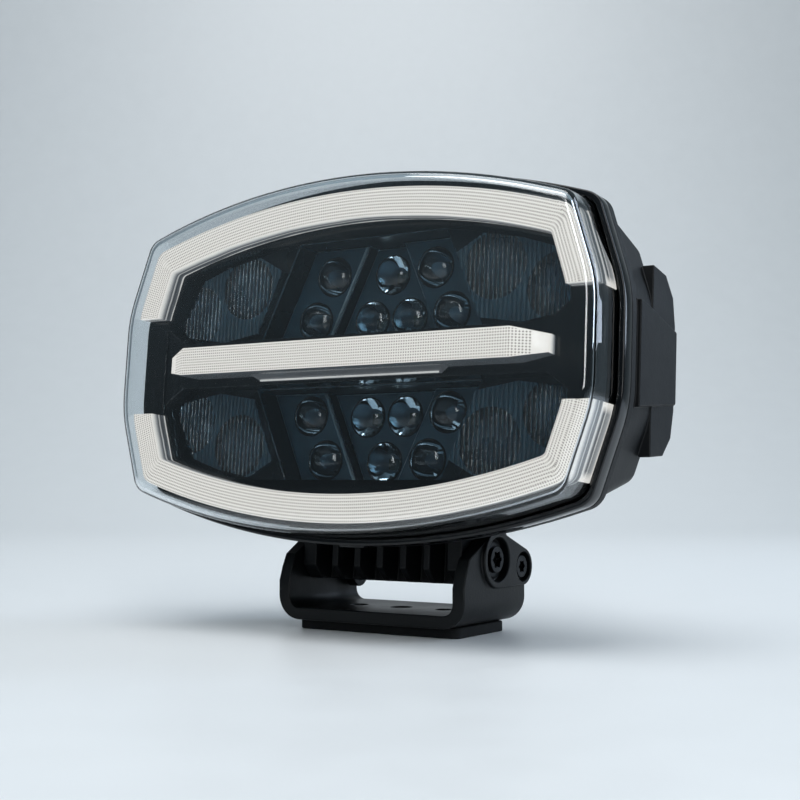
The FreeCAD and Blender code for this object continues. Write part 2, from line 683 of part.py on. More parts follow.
def rear_housing():
    """Die-cast body: front spigot and flange, tapered shell, fins, driver box and foot."""
    seat = LENS_BACK + SEAL_T
    parts = [slab(seat, FRAME_BACK + 1.0, FLANGE_GROW),
             slab(FRAME_BACK, BODY_FRONT, FRAME_GROW),
             taper(BODY_FRONT, BODY_GROW, 0.0, BODY_BACK, BODY_IN, BODY_DROP)]
    shell = union(parts)
    shell = shell.cut(slab(FLOOR_BACK, BODY_BACK, BODY_IN + WALL_T, BODY_DROP))
    add = end_plate()
    add += [flip_x(p) for p in end_plate()]
    for i in range(FIN_COUNT):
        f = fin(FIN_FIRST_X + i * FIN_PITCH)
        add += [f, flip_x(f)]
    for i in range(-5, 6):
        f = middle_fin(i * 9.4)
        add += [f, flip_z(f)]
    add.append(box(-BOX_X, BOX_X, FLOOR_BACK - 1.0, BOX_BACK, -BOX_Z, BOX_Z))
    add += foot()
    shell = union([shell] + add)
    cavity = taper(seat, FLANGE_GROW + WALL_T + 0.6, 0.0, LED_BOARD_Y, BODY_IN + WALL_T, BODY_DROP)
    well = box(-BOX_X + BOX_WALL, BOX_X - BOX_WALL, FLOOR_BACK, BOX_BACK, -BOX_Z + BOX_WALL, BOX_Z - BOX_WALL)
    shell = shell.cut(cavity).cut(well)
    inside = [cyl_y(x, z, POST_R, BEZEL_BACK + CARRIER_T, LED_BOARD_Y + 1.0) for x, z in POSTS]
    inside += [cyl_y(x, z, 4.5, FLOOR_BACK - 1.0, BOX_BACK) for x, z in cover_screw_spots()]
    inside += [cyl_y(x, z, 3.0, FLOOR_BACK - 1.0, DRIVER_Y) for x in (-34.0, 34.0) for z in (-20.0, 20.0)]
    shell = union([shell] + inside)
    holes = [cyl_y(x, z, 1.6, BEZEL_BACK + CARRIER_T, BEZEL_BACK + 18.0) for x, z in POSTS]
    holes += [cyl_y(x, z, 1.6, BOX_BACK - 12.0, BOX_BACK) for x, z in cover_screw_spots()]
    holes.append(cyl_z(0.0, GLAND_Y, GLAND_R, -BOX_Z, -BOX_Z + BOX_WALL))
    holes.append(box(-11.5, 11.5, GLAND_Y - 11.5, GLAND_Y + 11.5, -60.0, -BOX_Z))
    for sx in (-1, 1):
        x0 = min(sx * FOOT_X, sx * (FOOT_X - 18.0))
        holes.append(cyl_x(PIVOT_Y, PIVOT_Z, PIVOT_THREAD_R, x0, x0 + 18.0))
    for h in holes:
        shell = shell.cut(h)
    return shell


def cover_screw_spots():
    return [(x, z) for x in (-47.0, 0.0, 47.0) for z in (-30.0, 30.0) if x or z > 0]


def carrier_screws():
    parts = []
    for x, z in POSTS:
        head = cyl_y(x, z, 3.2, BEZEL_BACK - 2.0, BEZEL_BACK)
        parts.append(head.fuse(cyl_y(x, z, 1.6, BEZEL_BACK, BEZEL_BACK + 16.0)).removeSplitter())
    return Part.makeCompound(parts)


def driver_screws():
    y0 = DRIVER_Y + LED_BOARD_T
    return Part.makeCompound([cyl_y(x, z, 2.6, y0, y0 + 1.8) for x in (-34.0, 34.0) for z in (-20.0, 20.0)])


def cover_seal():
    seal = box(-BOX_X, BOX_X, BOX_BACK, BOX_BACK + COVER_SEAL_T, -BOX_Z, BOX_Z)
    inner_x = BOX_X - BOX_WALL + 0.5
    inner_z = BOX_Z - BOX_WALL + 0.5
    seal = seal.cut(box(-inner_x, inner_x, BOX_BACK, BOX_BACK + COVER_SEAL_T, -inner_z, inner_z))
    for x, z in cover_screw_spots():
        lug = cyl_y(x, z, 4.4, BOX_BACK, BOX_BACK + COVER_SEAL_T)
        seal = seal.fuse(lug)
    for x, z in cover_screw_spots():
        seal = seal.cut(cyl_y(x, z, 1.8, BOX_BACK, BOX_BACK + COVER_SEAL_T))
    return seal.removeSplitter()


def rear_cover():
    y0 = BOX_BACK + COVER_SEAL_T
    plate = box(-BOX_X, BOX_X, y0, y0 + COVER_PLATE_T, -BOX_Z, BOX_Z)
    plate = plate.makeFillet(5.0, [e for e in plate.Edges if abs(e.Vertexes[0].Y - e.Vertexes[1].Y) > 1.0])
    for x, z in cover_screw_spots():
        plate = plate.cut(cyl_y(x, z, 1.8, y0, y0 + COVER_PLATE_T))
    return plate.cut(cyl_y(VENT_X, 0.0, 4.0, y0, y0 + COVER_PLATE_T))


def cover_screws():
    y0 = BOX_BACK + COVER_SEAL_T + COVER_PLATE_T
    parts = []
    for x, z in cover_screw_spots():
        head = cyl_y(x, z, 3.4, y0, y0 + 2.4).cut(cyl_y(x, z, 1.5, y0 + 1.0, y0 + 2.4))
        parts.append(head.fuse(cyl_y(x, z, 1.6, y0 - 14.0, y0)).removeSplitter())
    return Part.makeCompound(parts)


def breather_vent():
    y0 = BOX_BACK + COVER_SEAL_T
    stem = cyl_y(VENT_X, 0.0, 4.0, y0, y0 + COVER_PLATE_T)
    cap = cyl_y(VENT_X, 0.0, 7.0, y0 + COVER_PLATE_T, y0 + COVER_PLATE_T + 3.0)
    cap = cap.makeFillet(0.8, [e for e in cap.Edges if e.BoundBox.YMin > y0 + COVER_PLATE_T + 2.0])
    return stem.fuse(cap).removeSplitter()


def hexagon(r):
    return [(r * math.cos(math.radians(60 * i)), r * math.sin(math.radians(60 * i))) for i in range(6)]


def gland_body():
    hexa = [(x, y + GLAND_Y) for x, y in hexagon(10.0)]
    body = prism_z(hexa, -BOX_Z - 4.0, -BOX_Z)
    stem = cyl_z(0.0, GLAND_Y, GLAND_R, -BOX_Z, -BOX_Z + BOX_WALL)
    neck = cyl_z(0.0, GLAND_Y, 6.4, -BOX_Z - 9.0, -BOX_Z - 4.0)
    bore = cyl_z(0.0, GLAND_Y, 3.8, -BOX_Z - 9.0, -BOX_Z + BOX_WALL)
    return union([body, stem, neck]).cut(bore)


def gland_nut():
    nut = cyl_z(0.0, GLAND_Y, 9.0, -BOX_Z - 14.0, -BOX_Z - 4.0)
    nut = nut.makeFillet(2.5, [e for e in nut.Edges if e.BoundBox.ZMax < -BOX_Z - 13.0])
    nut = nut.cut(cyl_z(0.0, GLAND_Y, 6.4, -BOX_Z - 9.0, -BOX_Z - 4.0))
    return nut.cut(cyl_z(0.0, GLAND_Y, 3.8, -BOX_Z - 14.0, -BOX_Z - 9.0))


def gland_plug():
    """Rubber plug that closes the gland while no cable is fitted."""
    return cyl_z(0.0, GLAND_Y, 3.8, -BOX_Z - 14.6, -BOX_Z + BOX_WALL)


# Stand

def tangent(c1, r1, c2, r2):
    """Touching points of the upper outer tangent of two circles given as (y, z)."""
    dy = c2[0] - c1[0]
    dz = c2[1] - c1[1]
    turn = math.atan2(dz, dy) + math.acos((r1 - r2) / math.hypot(dy, dz))
    cy = math.cos(turn)
    cz = math.sin(turn)
    return (c1[0] + r1 * cy, c1[1] + r1 * cz), (c2[0] + r2 * cy, c2[1] + r2 * cz)


def boss_plate(x0, x1):
    """Plate round both bolts: two discs and the web between them."""
    big = (0.0, PIVOT_H)
    small = (LOCK_Y, LOCK_H)
    up1, up2 = tangent(big, PIVOT_BOSS_R, small, LOCK_BOSS_R)
    low = [(LOCK_Y, LOCK_H - LOCK_BOSS_R), (0.0, PIVOT_H - PIVOT_BOSS_R)]
    web = prism_x([up1, up2, small, low[0], low[1], big], x0, x1)
    return [web, cyl_x(0.0, PIVOT_H, PIVOT_BOSS_R, x0, x1), cyl_x(LOCK_Y, LOCK_H, LOCK_BOSS_R, x0, x1)]


def low_edges(shape, z):
    """Edges at height z that run along Y."""
    return [e for e in shape.Edges if e.BoundBox.ZMax < z + 0.1 and e.BoundBox.XLength < 0.1]


def u_section():
    """U of even thickness with round bends, run along Y."""
    z0 = PAD_T
    z1 = PIVOT_H + PIVOT_BOSS_R + 2.0
    outer = box(-EAR_OUT, EAR_OUT, -BRACKET_HALF_Y, BRACKET_HALF_Y, z0, z1)
    outer = outer.makeFillet(EAR_BEND_R, low_edges(outer, z0))
    inner_x = EAR_OUT - EAR_T
    inner = box(-inner_x, inner_x, -BRACKET_HALF_Y, BRACKET_HALF_Y, z0 + BASE_T, z1 + 1.0)
    inner = inner.makeFillet(EAR_BEND_R - EAR_T, low_edges(inner, z0 + BASE_T))
    return outer.cut(inner)


def bracket():
    reach = EAR_OUT + 1.0
    side = [(-BRACKET_HALF_Y, 0.0), (-BRACKET_HALF_Y, PIVOT_H - EAR_DROP)]
    side += [(back - BRACKET_HALF_Y, PIVOT_H + up) for back, up in EAR_LEAN]
    side += [(-PIVOT_BOSS_R * 0.64, PIVOT_H + PIVOT_BOSS_R * 0.74), (0.0, PIVOT_H), (LOCK_Y, LOCK_H),
             (BRACKET_HALF_Y, 25.0), (BRACKET_HALF_Y, 0.0)]
    keep = union([prism_x(side, -reach, reach)] + boss_plate(-reach, reach))
    body = u_section().common(keep)
    top = EAR_OUT + BOSS_RISE
    floor_x = top - RECESS_DEPTH
    inner_x = EAR_OUT - EAR_T
    body = union([body] + boss_plate(inner_x, top) + boss_plate(-top, -inner_x))
    cuts = []
    for sx in (1, -1):
        x0 = min(sx * floor_x, sx * (top + 1.0))
        span = top + 1.0 - floor_x
        cuts.append(cyl_x(0.0, PIVOT_H, PIVOT_RECESS_R, x0, x0 + span))
        cuts.append(cyl_x(LOCK_Y, LOCK_H, LOCK_RECESS_R, x0, x0 + span))
        x0 = min(sx * (EAR_OUT - EAR_T - 1.0), sx * top)
        span = top - EAR_OUT + EAR_T + 1.0
        cuts.append(cyl_x(0.0, PIVOT_H, PIVOT_SHANK_R + RUNNING_FIT, x0, x0 + span))
        cuts.append(cyl_x(LOCK_Y, LOCK_H, LOCK_SHANK_R, x0, x0 + span))
    cuts += base_holes()
    for c in cuts:
        body = body.cut(c)
    return body


def base_holes():
    top = PAD_T + BASE_T + 1.0
    holes = [cyl_z(0.0, 0.0, MOUNT_R, -1.0, top)]
    holes += [cyl_z(x, 0.0, SIDE_HOLE_R, -1.0, top) for x in (-SIDE_HOLE_X, SIDE_HOLE_X)]
    return holes


def base_pad():
    pad = box(-PAD_HALF_X, PAD_HALF_X, -PAD_HALF_Y, PAD_HALF_Y, 0.0, PAD_T)
    pad = pad.makeFillet(4.0, [e for e in pad.Edges if e.BoundBox.ZLength > 1.0])
    for h in base_holes():
        pad = pad.cut(h)
    return pad


def star_socket(y, z, r, x0, x1):
    """Six-lobed drive socket."""
    parts = [cyl_x(y, z, r * 0.78, x0, x1)]
    for i in range(6):
        a = math.radians(60 * i)
        parts.append(cyl_x(y + r * 0.78 * math.cos(a), z + r * 0.78 * math.sin(a), r * 0.22, x0, x1))
    return union(parts)


def pivot_bolts():
    """Shoulder bolts: head in the ear's recess, shank in the ear, thread in the foot."""
    seat = EAR_OUT + BOSS_RISE - RECESS_DEPTH
    flange = cyl_x(0.0, PIVOT_H, PIVOT_HEAD_R, seat, seat + 1.4)
    crown = cyl_x(0.0, PIVOT_H, PIVOT_HEAD_R - 2.2, seat + 1.4, seat + PIVOT_HEAD_H)
    shank = cyl_x(0.0, PIVOT_H, PIVOT_SHANK_R, FOOT_X, seat)
    thread = cyl_x(0.0, PIVOT_H, PIVOT_THREAD_R, FOOT_X - 16.0, FOOT_X)
    bolt = union([flange, crown, shank, thread])
    bolt = bolt.cut(star_socket(0.0, PIVOT_H, 4.2, seat + 0.8, seat + PIVOT_HEAD_H))
    return Part.makeCompound([bolt, flip_x(bolt)])


def lock_bolts():
    seat = EAR_OUT + BOSS_RISE - RECESS_DEPTH
    inner = FOOT_X - CHEEK_T
    head = cyl_x(LOCK_Y, LOCK_H, LOCK_HEAD_R, seat, seat + LOCK_HEAD_H)
    shank = cyl_x(LOCK_Y, LOCK_H, LOCK_SHANK_R, inner - LOCK_NUT_H - 1.5, seat)
    bolt = union([head, shank])
    bolt = bolt.cut(star_socket(LOCK_Y, LOCK_H, 3.0, seat + 1.2, seat + LOCK_HEAD_H))
    return Part.makeCompound([bolt, flip_x(bolt)])


def lock_nuts():
    inner = FOOT_X - CHEEK_T
    hexa = [(LOCK_Y + a, LOCK_H + b) for a, b in hexagon(LOCK_NUT_R)]
    nut = prism_x(hexa, inner - LOCK_NUT_H, inner)
    nut = nut.cut(cyl_x(LOCK_Y, LOCK_H, LOCK_SHANK_R, inner - LOCK_NUT_H, inner))
    return Part.makeCompound([nut, flip_x(nut)])


def pivot_washers():
    w = cyl_x(0.0, PIVOT_H, 11.0, FOOT_X, FOOT_X + WASHER_T)
    w = w.cut(cyl_x(0.0, PIVOT_H, PIVOT_SHANK_R + 0.3, FOOT_X, FOOT_X + WASHER_T))
    return Part.makeCompound([w, flip_x(w)])


os.makedirs("parts", exist_ok=True)

export_head(outer_lens(), "outer_lens")
export_head(lens_seal(), "lens_seal")
export_head(lens_frame(), "lens_frame")
export_head(front_bezel(), "front_bezel")
export_head(optics_carrier(), "optics_carrier")
export_head(light_guide(), "upper_light_guide")
export_head(flip_z(light_guide()), "lower_light_guide")
export_head(guide_board(), "upper_guide_board")
export_head(flip_z(guide_board()), "lower_guide_board")
export_head(light_bar(), "centre_light_bar")
export_head(bar_board(), "bar_board")
export_head(bar_beam(), "bar_beam")
export_head(guide_chips(), "guide_chips")
for row, turn in (("upper", lambda s: s), ("lower", flip_z)):
    export_head(turn(trio_tile()), row + "_trio_lens")
    for hand, face in (("right", lambda s: s), ("left", flip_x)):
        export_head(turn(face(pair_tile())), row + "_" + hand + "_pair_lens")
        export_head(turn(face(ribbed_cover())), row + "_" + hand + "_ribbed_cover")
        export_head(turn(face(reflector())), row + "_" + hand + "_reflector")
export_head(led_board(), "main_led_board")
export_head(power_leds(), "power_leds")
export_head(driver_board(), "driver_board")
export_head(driver_parts(), "driver_parts")
export_head(driver_screws(), "driver_screws")
export_head(carrier_screws(), "carrier_screws")
export_head(rear_housing(), "rear_housing")
export_head(cover_seal(), "cover_seal")
export_head(rear_cover(), "rear_cover")
export_head(cover_screws(), "cover_screws")
export_head(breather_vent(), "breather_vent")
export_head(gland_body(), "gland_body")
export_head(gland_nut(), "gland_nut")
export_head(gland_plug(), "gland_plug")
export(bracket(), "bracket")
export(base_pad(), "base_pad")
export(pivot_bolts(), "pivot_bolts")
export(pivot_washers(), "pivot_washers")
export(lock_bolts(), "lock_bolts")
export(lock_nuts(), "lock_nuts")
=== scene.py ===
import math

import bmesh
import bpy
from mathutils import Matrix, Vector


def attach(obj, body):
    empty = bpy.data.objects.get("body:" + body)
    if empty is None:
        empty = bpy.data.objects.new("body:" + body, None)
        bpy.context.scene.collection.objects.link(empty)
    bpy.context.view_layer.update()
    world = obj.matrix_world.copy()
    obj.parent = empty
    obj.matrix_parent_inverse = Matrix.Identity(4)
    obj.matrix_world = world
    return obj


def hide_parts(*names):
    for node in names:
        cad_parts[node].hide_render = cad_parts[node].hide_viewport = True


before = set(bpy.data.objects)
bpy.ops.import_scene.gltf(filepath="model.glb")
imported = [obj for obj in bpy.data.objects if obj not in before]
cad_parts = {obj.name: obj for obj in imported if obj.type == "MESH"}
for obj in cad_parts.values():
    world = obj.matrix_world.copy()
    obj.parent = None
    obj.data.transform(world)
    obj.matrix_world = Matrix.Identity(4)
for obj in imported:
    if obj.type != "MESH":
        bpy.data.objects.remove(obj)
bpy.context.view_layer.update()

bl_info = {
    "name": "Oval driving light",
    "version": (1, 0, 0),
    "blender": (4, 5, 0),
    "location": "3D View > Sidebar > Driving light",
    "description": "Dresses the packed driving light with its mouldings, castings, finishes and studio",
    "category": "Object",
}

# The head's own pieces are drawn in millimetres: the origin is the centre of the light guides' front
# faces, the beam leaves along -Y, Z is up. LAMP puts them in the shared frame, leaned back on the pivot.
MM = 0.001
PIVOT_Z = 0.036
HEAD_LEAN = -4.7
HEAD_SPOT = (0.0, -0.0602, 0.0917)
LAMP = (
    Matrix.Translation((0.0, 0.0, PIVOT_Z))
    @ Matrix.Rotation(math.radians(HEAD_LEAN), 4, "X")
    @ Matrix.Translation(HEAD_SPOT)
    @ Matrix.Scale(MM, 4)
)

# Outline of the lens at its front fold, and the steps that its arcs are drawn in
HALF_W = 133.0
SIDE_Z = 25.0
SIDE_SLOPE = math.atan(0.3286)
SIDE_R = 60.0
APEX = 84.4
ARC_R = 370.0
CORNER_R = 9.0
CORNER_SHRINK = 0.4
CORNER_MIN = 3.0
SIDE_STEPS, CORNER_STEPS, ARC_STEPS = 4, 6, 48
# How near counts as being at a place, coarse and fine
SLACK, TOUCH = 0.1, 0.01

# Lens shell and the frame that clamps it
LENS_T = 2.5
LENS_FRONT = -12.0
LENS_SAG_R = 2400.0
LENS_EDGE_R = 6.0
LENS_BACK = 20.0
LENS_GROW = -0.8
# Insets of the rings on the lens's face, the shares by which its middle narrows, and the fold's steps
LENS_RINGS = (40.0, 28.0, 19.0, 12.0)
LENS_CENTRE = (0.72, 0.6, 0.4)
FOLD_STEPS = 6
FLANGE_FRONT = 18.0
FLANGE_GROW = -2.0
FRAME_FRONT = 15.0
FRAME_BACK = 23.0
FRAME_GROW = -4.0
FRAME_FIT = 0.2
FRAME_EASE = 0.7
TAB_SIZE = (14.0, 5.0, 1.8)
TAB_Y = 19.5
TAB_SINK = 0.1
TAB_EASE = 0.5

# Light guides and the bar between them
GUIDE_IN, GUIDE_DROP = 3.2, 2.6
GUIDE_WIDE, GUIDE_WIDE_DROP = 15.7, 3.4
GUIDE_END_Z = 24.8
GUIDE_BACK = 10.2
GUIDE_EASE = 0.6
RETURN_T = 3.0
RETURN_BACK = 20.0
RETURN_TOP_Z = 58.0
RETURN_GLOW = 5.0
BAR_FRONT = -5.3
BAR_TIP_Y = 3.9
BAR_SHOULDER_X = 93.0
BAR_TIP_X = 108.0
BAR_PLAIN_X = 101.5
BAR_HALF_H = 7.0
BAR_TIP_HALF_H = 4.2
BAR_BACK = 9.0
BAR_EASE = 0.7
CHIN_TOP, CHIN_TOP_X, CHIN_TOP_Y = 6.0, 56.0, 1.0
CHIN_LOW, CHIN_LOW_X, CHIN_LOW_Y = 9.8, 51.5, 8.0
BEAD_FRONT, BEAD_BACK, BEAD_TOP, BEAD_LOW = 1.4, 0.6, 1.2, 0.1
# Depths into the wall's painted streaks: painted shade on the bar's underside and on the chin, a little paler
# on the chin's left half, and a painted highlight on the bead along it
UNDERSIDE_PAINTED_SHADE = 12.8
CHIN_PAINTED_SHADE = 7.8
CHIN_LEFT_PAINTED_LIGHT = 8.6
BEAD_PAINTED_HIGHLIGHT = 11.0

# Ribbed covers over the bowls, with a round window in front of each bowl
COVER_FRONT = 18.0
COVER_BACK = 22.0
FLUTE_PITCH = 2.4
FLUTE_DEPTH = 0.9
FLUTE_STEPS = 6
FLUTE_OVERRUN = 1.0
# Flute flanks that face right beyond this take a paler painted highlight
FLANK_HIGHLIGHT_FACING = 0.75
WINDOWS = [(72.0, 40.3), (104.5, 28.0)]
WINDOW_R = 15.8
WINDOW_SIDES = 28
CELL = [(64.0, 16.8), (50.8, 48.0), (65.5, 56.0), (86.0, 51.8), (102.0, 46.4), (114.5, 23.6),
        (111.5, 17.3), (86.0, 13.2)]

# Dome lenses: places of the upper trio and the upper right pair, and the front of the tile each group
# stands on
DOME_R = 10.0
TRIO_DOMES = [(-11.0, 24.3), (11.0, 24.3), (0.0, 46.8)]
PAIR_DOMES = [(40.0, 24.0), (29.8, 46.4)]
TRIO_FACE = 43.0
PAIR_FACE = 35.0
TILE_T = 2.0
# Black collar round a dome: its height and its rounding, and its outer wall, middle and inner wall from the
# dome's rim
COLLAR_H = 1.1
COLLAR_R = 0.4
COLLAR_OUT, COLLAR_MID, COLLAR_IN = 0.15, -0.25, -0.65
COLLAR_STEPS, COLLAR_SIDES = 6, 48

# Eased edges of the copied CAD shapes, and the distance within which doubled vertices merge, in metres
MOULD_EDGE = 0.0006
BEAM_EDGE = 0.0005
SMALL_EDGE = 0.0003
SCREW_EDGE = 0.0002
TILE_CHAMFER = 0.0006
MERGE = 2e-6
# Angles in degrees: flats join under the first, edges are eased from the second on, and edges stay smooth
# under the others
FLAT_ANGLE = 0.4
EASE_ANGLE = 40.0
CREASE = 32.0
LENS_CREASE = 40.0
FLUTE_CREASE = 50.0

# Patterns in metres: the slow drift of a grained finish, the mould's ripples, the dimples of the dots, and
# the wander and the glowing ends of the painted streaks. A dot's radius and blur are shares of its pitch,
# and the depth of a grain is a share of its size.
DRIFT_SIZE = 0.035
GRAIN_DEPTH = 0.25
FLOW_SIZE = 0.03
RIPPLE_DEPTH = 0.0002
DOT_R, DOT_BLUR = 0.2, 0.16
DIMPLE_DEPTH = 0.0002
WANDER_SIZE, WANDER = 0.02, 0.0012
END_GLOW = (0.0015, 0.0045)
# Refraction of the clear plastics
ACRYLIC_IOR = 1.49
POLYCARBONATE_IOR = 1.585
# Places of a colour Mix node's two inputs and its result among its sockets
MIX_A, MIX_B, MIX_RESULT = 6, 7, 2

# The photograph's viewing angle; the camera's place and nearest distance in metres, and its focal length
# and sensor in millimetres
VIEW_TURN = math.radians(33.1)
VIEW_RISE = math.radians(3.35)
CAMERA_SPOT = (0.3709, -0.5699, 0.0738)
CAMERA_LENS = 61.35
CAMERA_SENSOR = 36.0
CAMERA_NEAR = 0.02

# Studio in metres: the sweep's half size, how far it is moved forward, its rise and the radius of its bend
SWEEP_HALF = 6.0
SWEEP_FORWARD = -3.6
SWEEP_RISE = 3.0
SWEEP_R = 1.2
SWEEP_STEPS = 16
# Softboxes: name, place, aim, width, height, power in watts, colour
SOFTBOXES = [
    ("top_softbox", (0.1, -0.35, 1.5), (0.0, -0.03, 0.12), 1.3, 1.3, 18.0, "#FFFFFF"),
    ("front_softbox", (0.95, -1.15, 0.8), (0.0, -0.03, 0.12), 0.35, 1.2, 9.0, "#FFFFFF"),
    ("rim_softbox", (1.0, 0.9, 0.7), (0.0, 0.0, 0.12), 0.5, 0.9, 7.0, "#DCEBFF"),
    ("backdrop_wash", (-0.5, 0.7, 1.6), (-1.3, 2.0, 0.6), 1.4, 1.0, 14.0, "#FFFFFF"),
]


def linear(code):
    """An sRGB hex colour as linear red, green, blue."""
    parts = [int(code[i:i + 2], 16) / 255.0 for i in (1, 3, 5)]
    return tuple(c / 12.92 if c <= 0.04045 else ((c + 0.055) / 1.055) ** 2.4 for c in parts)


def rgba(colour):
    return (colour[0], colour[1], colour[2], 1.0)


def colour_property(name, description, code):
    return bpy.props.FloatVectorProperty(name=name, description=description, subtype="COLOR", size=3,
                                         min=0.0, max=1.0, default=linear(code))


class LightSizes(bpy.types.PropertyGroup):
    """Sizes of the dressed details that a user may want to change."""
    dot_pitch_along: bpy.props.FloatProperty(
        name="Dot pitch along", description="Spacing of the guide's dots along the band",
        default=0.00115, unit="LENGTH")
    dot_pitch_across: bpy.props.FloatProperty(
        name="Dot pitch across", description="Spacing of the rows of dots across the band",
        default=0.0014, unit="LENGTH")
    bar_dot_pitch: bpy.props.FloatProperty(
        name="Bar dot pitch", description="Spacing of the dots on the centre bar",
        default=0.0013, unit="LENGTH")
    cast_edge: bpy.props.FloatProperty(
        name="Casting edge", description="Eased edge on the castings and the bracket",
        default=0.0007, unit="LENGTH")
    powder_grain: bpy.props.FloatProperty(
        name="Powder grain", description="Grain of the powder coat on the castings",
        default=0.0011, unit="LENGTH")


class LightColours(bpy.types.PropertyGroup):
    """Colours of the finishes."""
    lit: colour_property("Lit guide", "Light that leaves the guides and the bar", "#F6F1EA")
    lit_dot: colour_property("Guide dots", "The dots between the lit rows", "#8A8580")
    clear: colour_property("Clear lens", "Outer lens", "#F4F8FA")
    optic: colour_property("Optics", "Dome lenses and ribbed covers", "#9DB5C3")
    bezel: colour_property("Bezel", "Gloss black mouldings", "#07080A")
    carrier: colour_property("Carrier", "Satin mouldings behind the optics", "#070F15")
    casting: colour_property("Casting", "Powder coat on the housing", "#07090B")
    stand: colour_property("Bracket", "Powder coat on the bracket", "#060809")
    rubber: colour_property("Rubber", "Pad and seals", "#0C0D0E")
    floor: colour_property("Floor", "Floor and backdrop", "#D8DBDD")


def add_node(tree, kind, links=(), inputs=None, **settings):
    """Adds one node with its settings, its socket values and its wires."""
    node = tree.nodes.new(kind)
    for key, value in settings.items():
        setattr(node, key, value)
    for key, value in (inputs or {}).items():
        node.inputs[key].default_value = value
    for key, socket in links:
        tree.links.new(socket, node.inputs[key])
    return node


def start_finish(name, sockets):
    """A named material with the shader's own sockets set; returns the material, its tree and its shader."""
    material = bpy.data.materials.new(name)
    material.use_nodes = True
    tree = material.node_tree
    shader = tree.nodes["Principled BSDF"]
    for key, value in sockets.items():
        shader.inputs[key].default_value = value
    return material, tree, shader


def grained_finish(name, colour, paler, grain, bump, roughness, spread, **sockets):
    """A moulded or coated surface: fine grain in the bump, a slow drift in colour and gloss."""
    material, tree, shader = start_finish(name, sockets)
    place = add_node(tree, "ShaderNodeTexCoord")
    drift = add_node(tree, "ShaderNodeTexNoise", [("Vector", place.outputs["Object"])],
                     {"Scale": 1.0 / DRIFT_SIZE, "Detail": 3.0, "Roughness": 0.6})
    fine = add_node(tree, "ShaderNodeTexNoise", [("Vector", place.outputs["Object"])],
                    {"Scale": 1.0 / grain, "Detail": 2.0, "Roughness": 0.5})
    tint = add_node(tree, "ShaderNodeMix", [("Factor", drift.outputs["Fac"])], data_type="RGBA")
    tint.inputs[MIX_A].default_value = rgba(colour)
    tint.inputs[MIX_B].default_value = rgba(paler)
    gloss = add_node(tree, "ShaderNodeMapRange", [("Value", drift.outputs["Fac"])],
                     {"From Min": 0.3, "From Max": 0.7,
                      "To Min": roughness - spread, "To Max": roughness + spread})
    relief = add_node(tree, "ShaderNodeBump", [("Height", fine.outputs["Fac"])],
                      {"Strength": bump, "Distance": grain * GRAIN_DEPTH})
    tree.links.new(tint.outputs[MIX_RESULT], shader.inputs["Base Color"])
    tree.links.new(gloss.outputs["Result"], shader.inputs["Roughness"])
    tree.links.new(relief.outputs["Normal"], shader.inputs["Normal"])
    return material


def clear_finish(name, colour, ior, ripple, roughness, clearness):
    """A clear moulding: slow ripples from the mould, and a little haze that comes and goes."""
    material, tree, shader = start_finish(name, {"Base Color": rgba(colour), "IOR": ior,
                                                 "Transmission Weight": clearness})
    place = add_node(tree, "ShaderNodeTexCoord")
    flow = add_node(tree, "ShaderNodeTexNoise", [("Vector", place.outputs["Object"])],
                    {"Scale": 1.0 / FLOW_SIZE, "Detail": 1.0})
    haze = add_node(tree, "ShaderNodeMapRange", [("Value", flow.outputs["Fac"])],
                    {"To Min": roughness * 0.5, "To Max": roughness * 1.5})
    relief = add_node(tree, "ShaderNodeBump", [("Height", flow.outputs["Fac"])],
                      {"Strength": ripple, "Distance": RIPPLE_DEPTH})
    tree.links.new(haze.outputs["Result"], shader.inputs["Roughness"])
    tree.links.new(relief.outputs["Normal"], shader.inputs["Normal"])
    return material


def dotted_finish(name, lit, dot, along, across):
    """Frosted guide face lit from behind: rows of tiny extraction dots, a shade greyer than the light."""
    material, tree, shader = start_finish(name, {"Base Color": rgba(linear("#2A2A2A")), "Roughness": 0.35,
                                                 "IOR": ACRYLIC_IOR, "Emission Strength": 1.0})
    place = add_node(tree, "ShaderNodeUVMap", uv_map="band")
    cells = add_node(tree, "ShaderNodeVectorMath", [(0, place.outputs["UV"])], operation="MULTIPLY")
    cells.inputs[1].default_value = (1.0 / along, 1.0 / across, 0.0)
    part = add_node(tree, "ShaderNodeVectorMath", [(0, cells.outputs["Vector"])], operation="FRACTION")
    middle = add_node(tree, "ShaderNodeVectorMath", [(0, part.outputs["Vector"])], operation="SUBTRACT")
    middle.inputs[1].default_value = (0.5, 0.5, 0.0)
    reach = add_node(tree, "ShaderNodeVectorMath", [(0, middle.outputs["Vector"])], operation="LENGTH")
    spot = add_node(tree, "ShaderNodeMapRange", [("Value", reach.outputs["Value"])],
                    {"From Min": DOT_R, "From Max": DOT_R + DOT_BLUR, "To Min": 1.0, "To Max": 0.0})
    glow = add_node(tree, "ShaderNodeMix", [("Factor", spot.outputs["Result"])], data_type="RGBA")
    glow.inputs[MIX_A].default_value = rgba(lit)
    glow.inputs[MIX_B].default_value = rgba(dot)
    dimple = add_node(tree, "ShaderNodeBump", [("Height", spot.outputs["Result"])],
                      {"Strength": 0.3, "Distance": DIMPLE_DEPTH}, invert=True)
    tree.links.new(glow.outputs[MIX_RESULT], shader.inputs["Emission Color"])
    tree.links.new(dimple.outputs["Normal"], shader.inputs["Normal"])
    return material


# Painted reflection streaks on a guide's side wall, pale and dark, by their share of its depth
PAINTED_WALL_STREAKS = [(0.10, "#D5D4D0"), (0.20, "#7D7F81"), (0.26, "#3F4144"), (0.30, "#BDBDBB"), (0.34, "#36383B"),
                (0.46, "#4C4E51"), (0.50, "#DAD9D5"), (0.55, "#C6C6C4"), (0.61, "#3F4245"), (0.68, "#2C2F32"),
                (0.71, "#DCDBD8"), (0.76, "#84878A"), (0.90, "#A9ABAC")]


